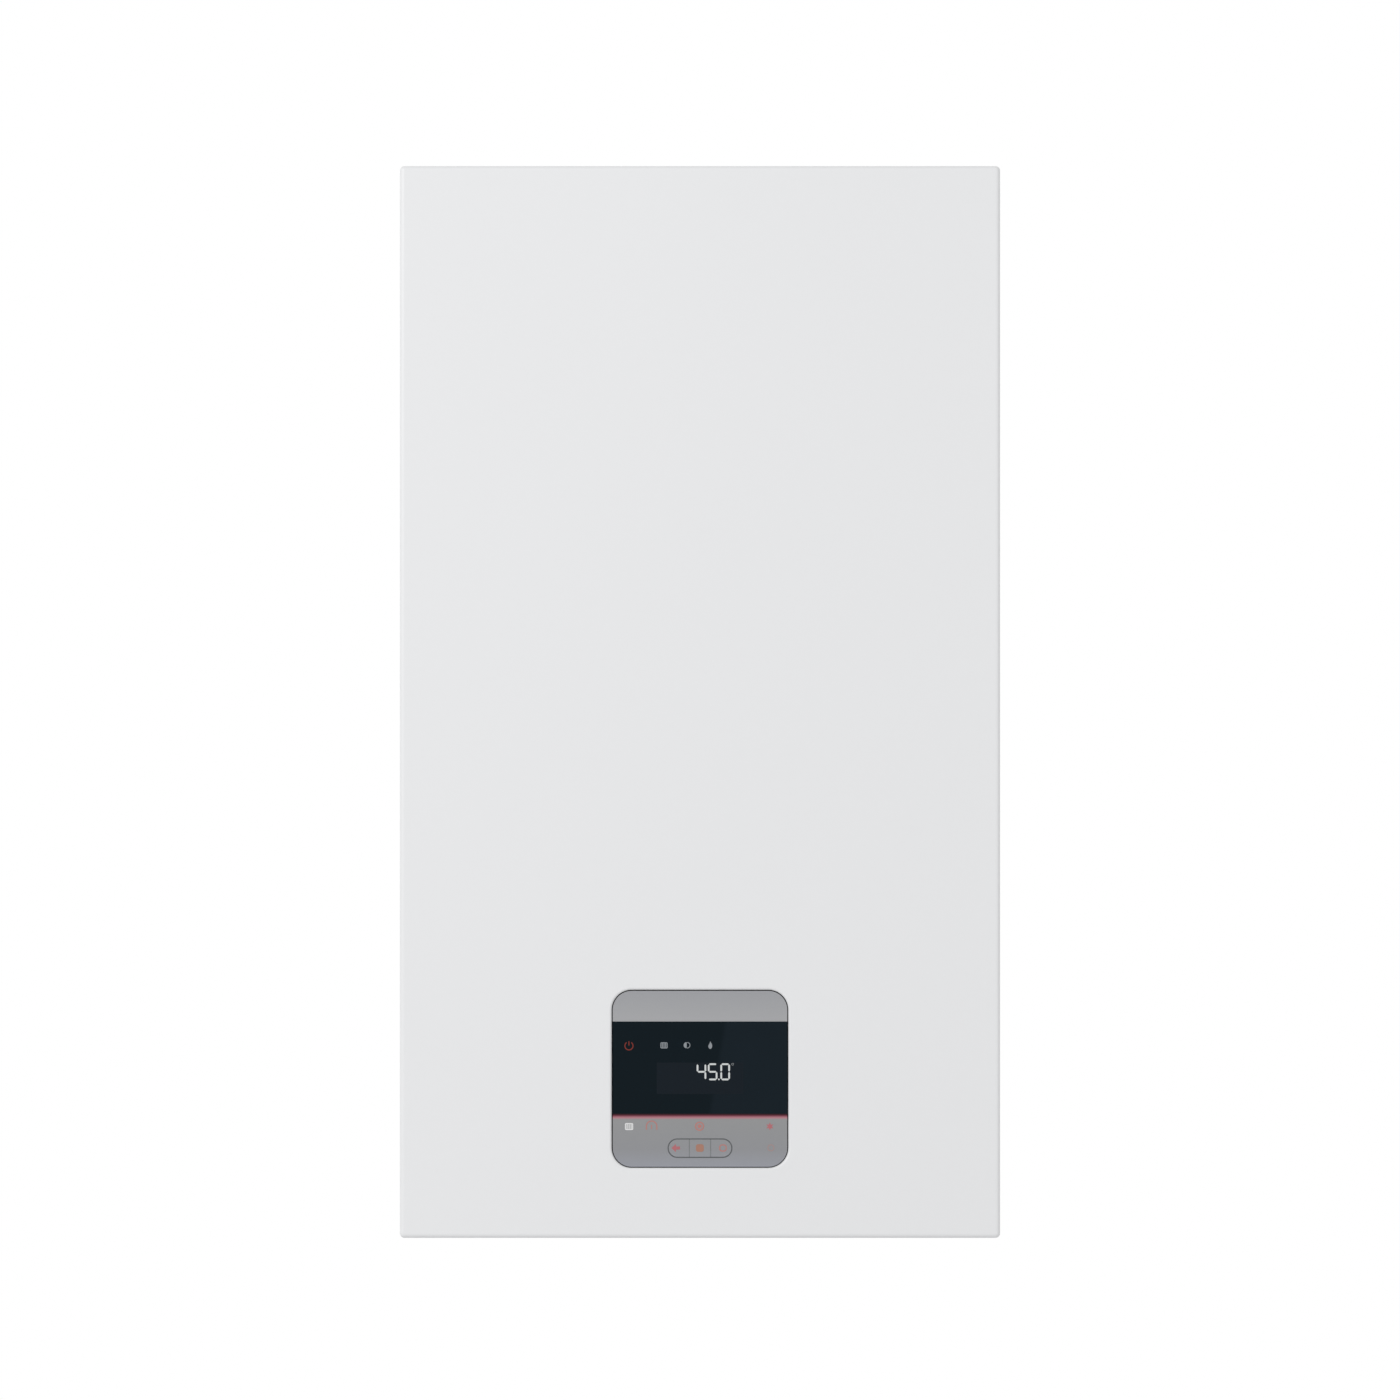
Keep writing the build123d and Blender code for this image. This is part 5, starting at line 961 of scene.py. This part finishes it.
# black harness up the right side with its branches: radius, places
harnessX = 186.0
harness = {
    "trunk": (3.6, [(156.0, -175.5, 50.0), (157.0, -176.5, 68.0), (163.0, -181.0, 92.0),
                    (175.0, -187.0, 118.0), (184.0, -190.0, 146.0), (harnessX, -190.0, 180.0),
                    (harnessX, -188.0, 300.0), (harnessX, -188.0, 430.0), (harnessX, -187.0, 470.0),
                    (183.5, -184.5, 495.0), (176.0, -180.0, 511.0), (165.0, -175.5, 517.5),
                    (152.0, -172.0, 519.0)]),
    "gas_valve": (2.4, [(harnessX, -190.0, 250.0), (181.0, -200.0, 275.0), (164.0, -206.0, 292.0),
                        (146.0, -205.0, 296.0)]),
    "pump": (2.8, [(harnessX, -188.0, 165.0), (181.0, -180.0, 192.0), (164.0, -163.0, 206.0),
                   (145.0, -152.0, 203.0)]),
    "supply": (3.4, [(130.0, -175.5, 50.0), (130.5, -176.0, 66.0), (137.0, -182.0, 94.0),
                     (154.0, -191.0, 124.0), (173.0, -196.0, 160.0), (183.0, -195.0, 200.0),
                     (harnessX, -189.5, 236.0)]),
}
addParts("wire_harness", [cablePart(radius, places) for radius, places in harness.values()], blackPlastic)

# ignition lead from the boot to the ignition unit beside the gas valve
lead = {"radius": 2.6,
        "places": [(bootX, -248.0, bootZ), (bootX - 1.5, -256.5, bootZ - 2.0),
                   (bootX - 8.0, -264.0, bootZ - 10.0), (bootX - 20.0, -266.0, bootZ - 25.0),
                   (-113.0, -261.0, 450.0), (-117.0, -252.0, 400.0), (-98.0, -242.0, 350.0),
                   (-55.0, -232.0, 316.0), (0.0, -220.0, 304.0), (50.0, -206.0, 306.0),
                   (80.0, -195.0, 315.0), (96.0, -188.0, 321.0)]}
addParts("ignition_lead", [cablePart(lead["radius"], lead["places"])], redEnamel)
unit = {"size": (24.0, 13.0, 30.0), "place": (106.0, -184.7, 320.0), "edge": 1.5}
addParts("ignition_unit", [blockPart(unit["size"], spot(*unit["place"]), unit["edge"])], blackPlastic)

# clips that hold the harness to the side panel: a band round the trunk and a foot on the panel
clip = {"inner": 3.7, "outer": 5.2, "height": 9.0, "foot": (4.2, 10.0, 9.0), "footOut": 6.9, "edge": 0.5,
        "places": [(-189.8, 160.0), (-188.6, 235.0), (-188.0, 330.0), (-188.0, 415.0)]}
clips = [ringPart(clip["inner"], clip["outer"], clip["height"], spot(harnessX, y, z), upward, 24)
         for y, z in clip["places"]]
clips += [blockPart(clip["foot"], spot(harnessX + clip["footOut"], y, z + clip["height"] / 2), clip["edge"])
          for y, z in clip["places"]]
addParts("harness_clips", clips, blackPlastic)

# clips on the condensate hose
hoseClip = {"inner": 9.8, "outer": 11.4, "height": 7.0, "y": -155.73, "heights": (193.0, 344.0)}
clips = [ringPart(hoseClip["inner"], hoseClip["outer"], hoseClip["height"], spot(cellX, hoseClip["y"], z),
                  upward) for z in hoseClip["heights"]]
addParts("hose_clips", clips, boltZinc)

# moulded plugs on the fan, the gas valve, the pump and the diverter: size, place
plugEdge = 1.2
plugs = {
    "fan": ((16.0, 12.0, 13.0), (152.0, -174.0, 512.0)),
    "gas_valve": ((13.0, 9.0, 16.0), (146.0, -182.0, 318.0)),
    "pump": ((18.0, 14.0, 9.0), (136.0, -150.0, 200.0)),
    "actuator": ((14.0, 10.0, 12.0), (-heatingX, -124.0, 240.0)),
}
addParts("moulded_plugs", [blockPart(size, spot(*place), plugEdge) for size, place in plugs.values()],
         ceramicWhite)

# ribs and a cable grommet on the control box's rear cover
rib = {"y": -204.4, "thick": 2.0, "rise": 2.4, "edge": 0.5, "middle": 109.0, "tall": 120.0, "wide": 200.0,
       "across": (-100.0, -60.0, -20.0, 20.0, 60.0, 100.0), "heights": (70.0, 148.0)}
ribs = [blockPart((rib["thick"], rib["rise"], rib["tall"]), spot(x, rib["y"], rib["middle"]), rib["edge"])
        for x in rib["across"]]
ribs += [blockPart((rib["wide"], rib["rise"], rib["thick"]), spot(0.0, rib["y"], z), rib["edge"])
         for z in rib["heights"]]
addParts("cover_ribs", ribs, boxPlastic, body="control_box")
grommet = {"place": (128.0, -205.0, 50.0),
           "profile": [(0, -2), (11, -2), (11, 1.5), (8, 3.5), (5, 3.5), (4, 1.0), (0, 1.0)]}
addParts("box_grommet", [turnedPart(grommet["profile"], spot(*grommet["place"]), backward, 28)], blackPlastic,
         body="control_box")

# bare rating plates on the gas valve, the diverter's actuator and the pump: size, place
plateEdge = 0.2
plates = {
    "gas_valve": ((0.6, 34.0, 42.0), (94.7, -150.0, 299.0)),
    "actuator": ((26.0, 0.6, 20.0), (-heatingX, -123.2, 222.0)),
    "pump": ((0.6, 30.0, 26.0), (114.7, -143.0, 184.0)),
}
addParts("bare_labels", [blockPart(size, spot(*place), plateEdge) for size, place in plates.values()],
         fluePlastic)
print("fittings made")

# floor, light and camera
centre = (cadLow + cadHigh) / 2
floor = {"below": 0.35, "half": 1.8, "dark": (0.84, 0.84, 0.84), "light": (0.88, 0.88, 0.88),
         "grainScale": 9.0, "roughness": 0.9, "specular": 0.1, "bumpStrength": 0.05, "bump": 0.001}


def makeStudioFloor():
    material, tree, shader = newMaterial("studioFloor")
    grain = addNoise(tree, addPlace(tree), floor["grainScale"], detail=4.0)
    tree.links.new(addMix(tree, grain, floor["dark"], floor["light"]), shader.inputs["Base Color"])
    shader.inputs["Roughness"].default_value = floor["roughness"]
    shader.inputs["Specular IOR Level"].default_value = floor["specular"]
    tree.links.new(addBump(tree, grain, floor["bumpStrength"], floor["bump"]), shader.inputs["Normal"])
    return material


half = floor["half"]
floorMesh = bpy.data.meshes.new("studio_floor")
floorCorners = [(-half, -half, 0), (half, -half, 0), (half, half, 0), (-half, half, 0)]
floorMesh.from_pydata(floorCorners, [], [[0, 1, 2, 3]])
floorMesh.materials.append(makeStudioFloor())
floorPiece = bpy.data.objects.new("studio_floor", floorMesh)
floorPiece.location.z = cadLow.z - floor["below"]
bpy.context.scene.collection.objects.link(floorPiece)

# white surroundings: full strength where they are seen or mirrored, less of it as light on the object
fillLevel = 0.605
world = bpy.data.worlds.new("studioWorld")
bpy.context.scene.world = world
world.use_nodes = True
tree = world.node_tree
background = tree.nodes["Background"]
background.inputs["Color"].default_value = (1.0, 1.0, 1.0, 1.0)
rays = tree.nodes.new("ShaderNodeLightPath").outputs
mirrored = addMath(tree, "MAXIMUM", rays["Is Glossy Ray"], rays["Is Transmission Ray"])
seen = addMath(tree, "MAXIMUM", rays["Is Camera Ray"], mirrored)
tree.links.new(addShare(tree, fillLevel, seen, 1.0 - fillLevel), background.inputs["Strength"])

lamps = {
    "keyLight": {"place": (-2.1, -2.9, 1.0), "size": (1.8, 1.8), "power": 53.0},
    "sideLight": {"place": (2.6, -2.4, -0.6), "size": (1.6, 2.2), "power": 12.0},
}
for name, settings in lamps.items():
    lamp = bpy.data.lights.new(name, "AREA")
    lamp.shape, lamp.energy = "RECTANGLE", settings["power"]
    lamp.size, lamp.size_y = settings["size"]
    holder = bpy.data.objects.new(name, lamp)
    holder.location = settings["place"]
    holder.rotation_euler = (centre - Vector(settings["place"])).to_track_quat("-Z", "Y").to_euler()
    bpy.context.scene.collection.objects.link(holder)

# straight front view: distance, height of the camera over the casing's lower edge, height seen at its front
view = {"away": 5.0, "level": 0.3513, "frameHeight": 0.9139, "sensor": 36.0}
cameraData = bpy.data.cameras.new("viewCamera")
cameraData.sensor_width = view["sensor"]
cameraData.lens = view["sensor"] * view["away"] / view["frameHeight"]
camera = bpy.data.objects.new("viewCamera", cameraData)
camera.location = (0.0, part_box("front_casing")[0].y - view["away"], baseHeight + view["level"])
camera.rotation_euler = (math.radians(90), 0.0, 0.0)
bpy.context.scene.collection.objects.link(camera)
bpy.context.scene.camera = camera
bpy.context.scene.view_settings.view_transform = "Standard"
print("stage set")
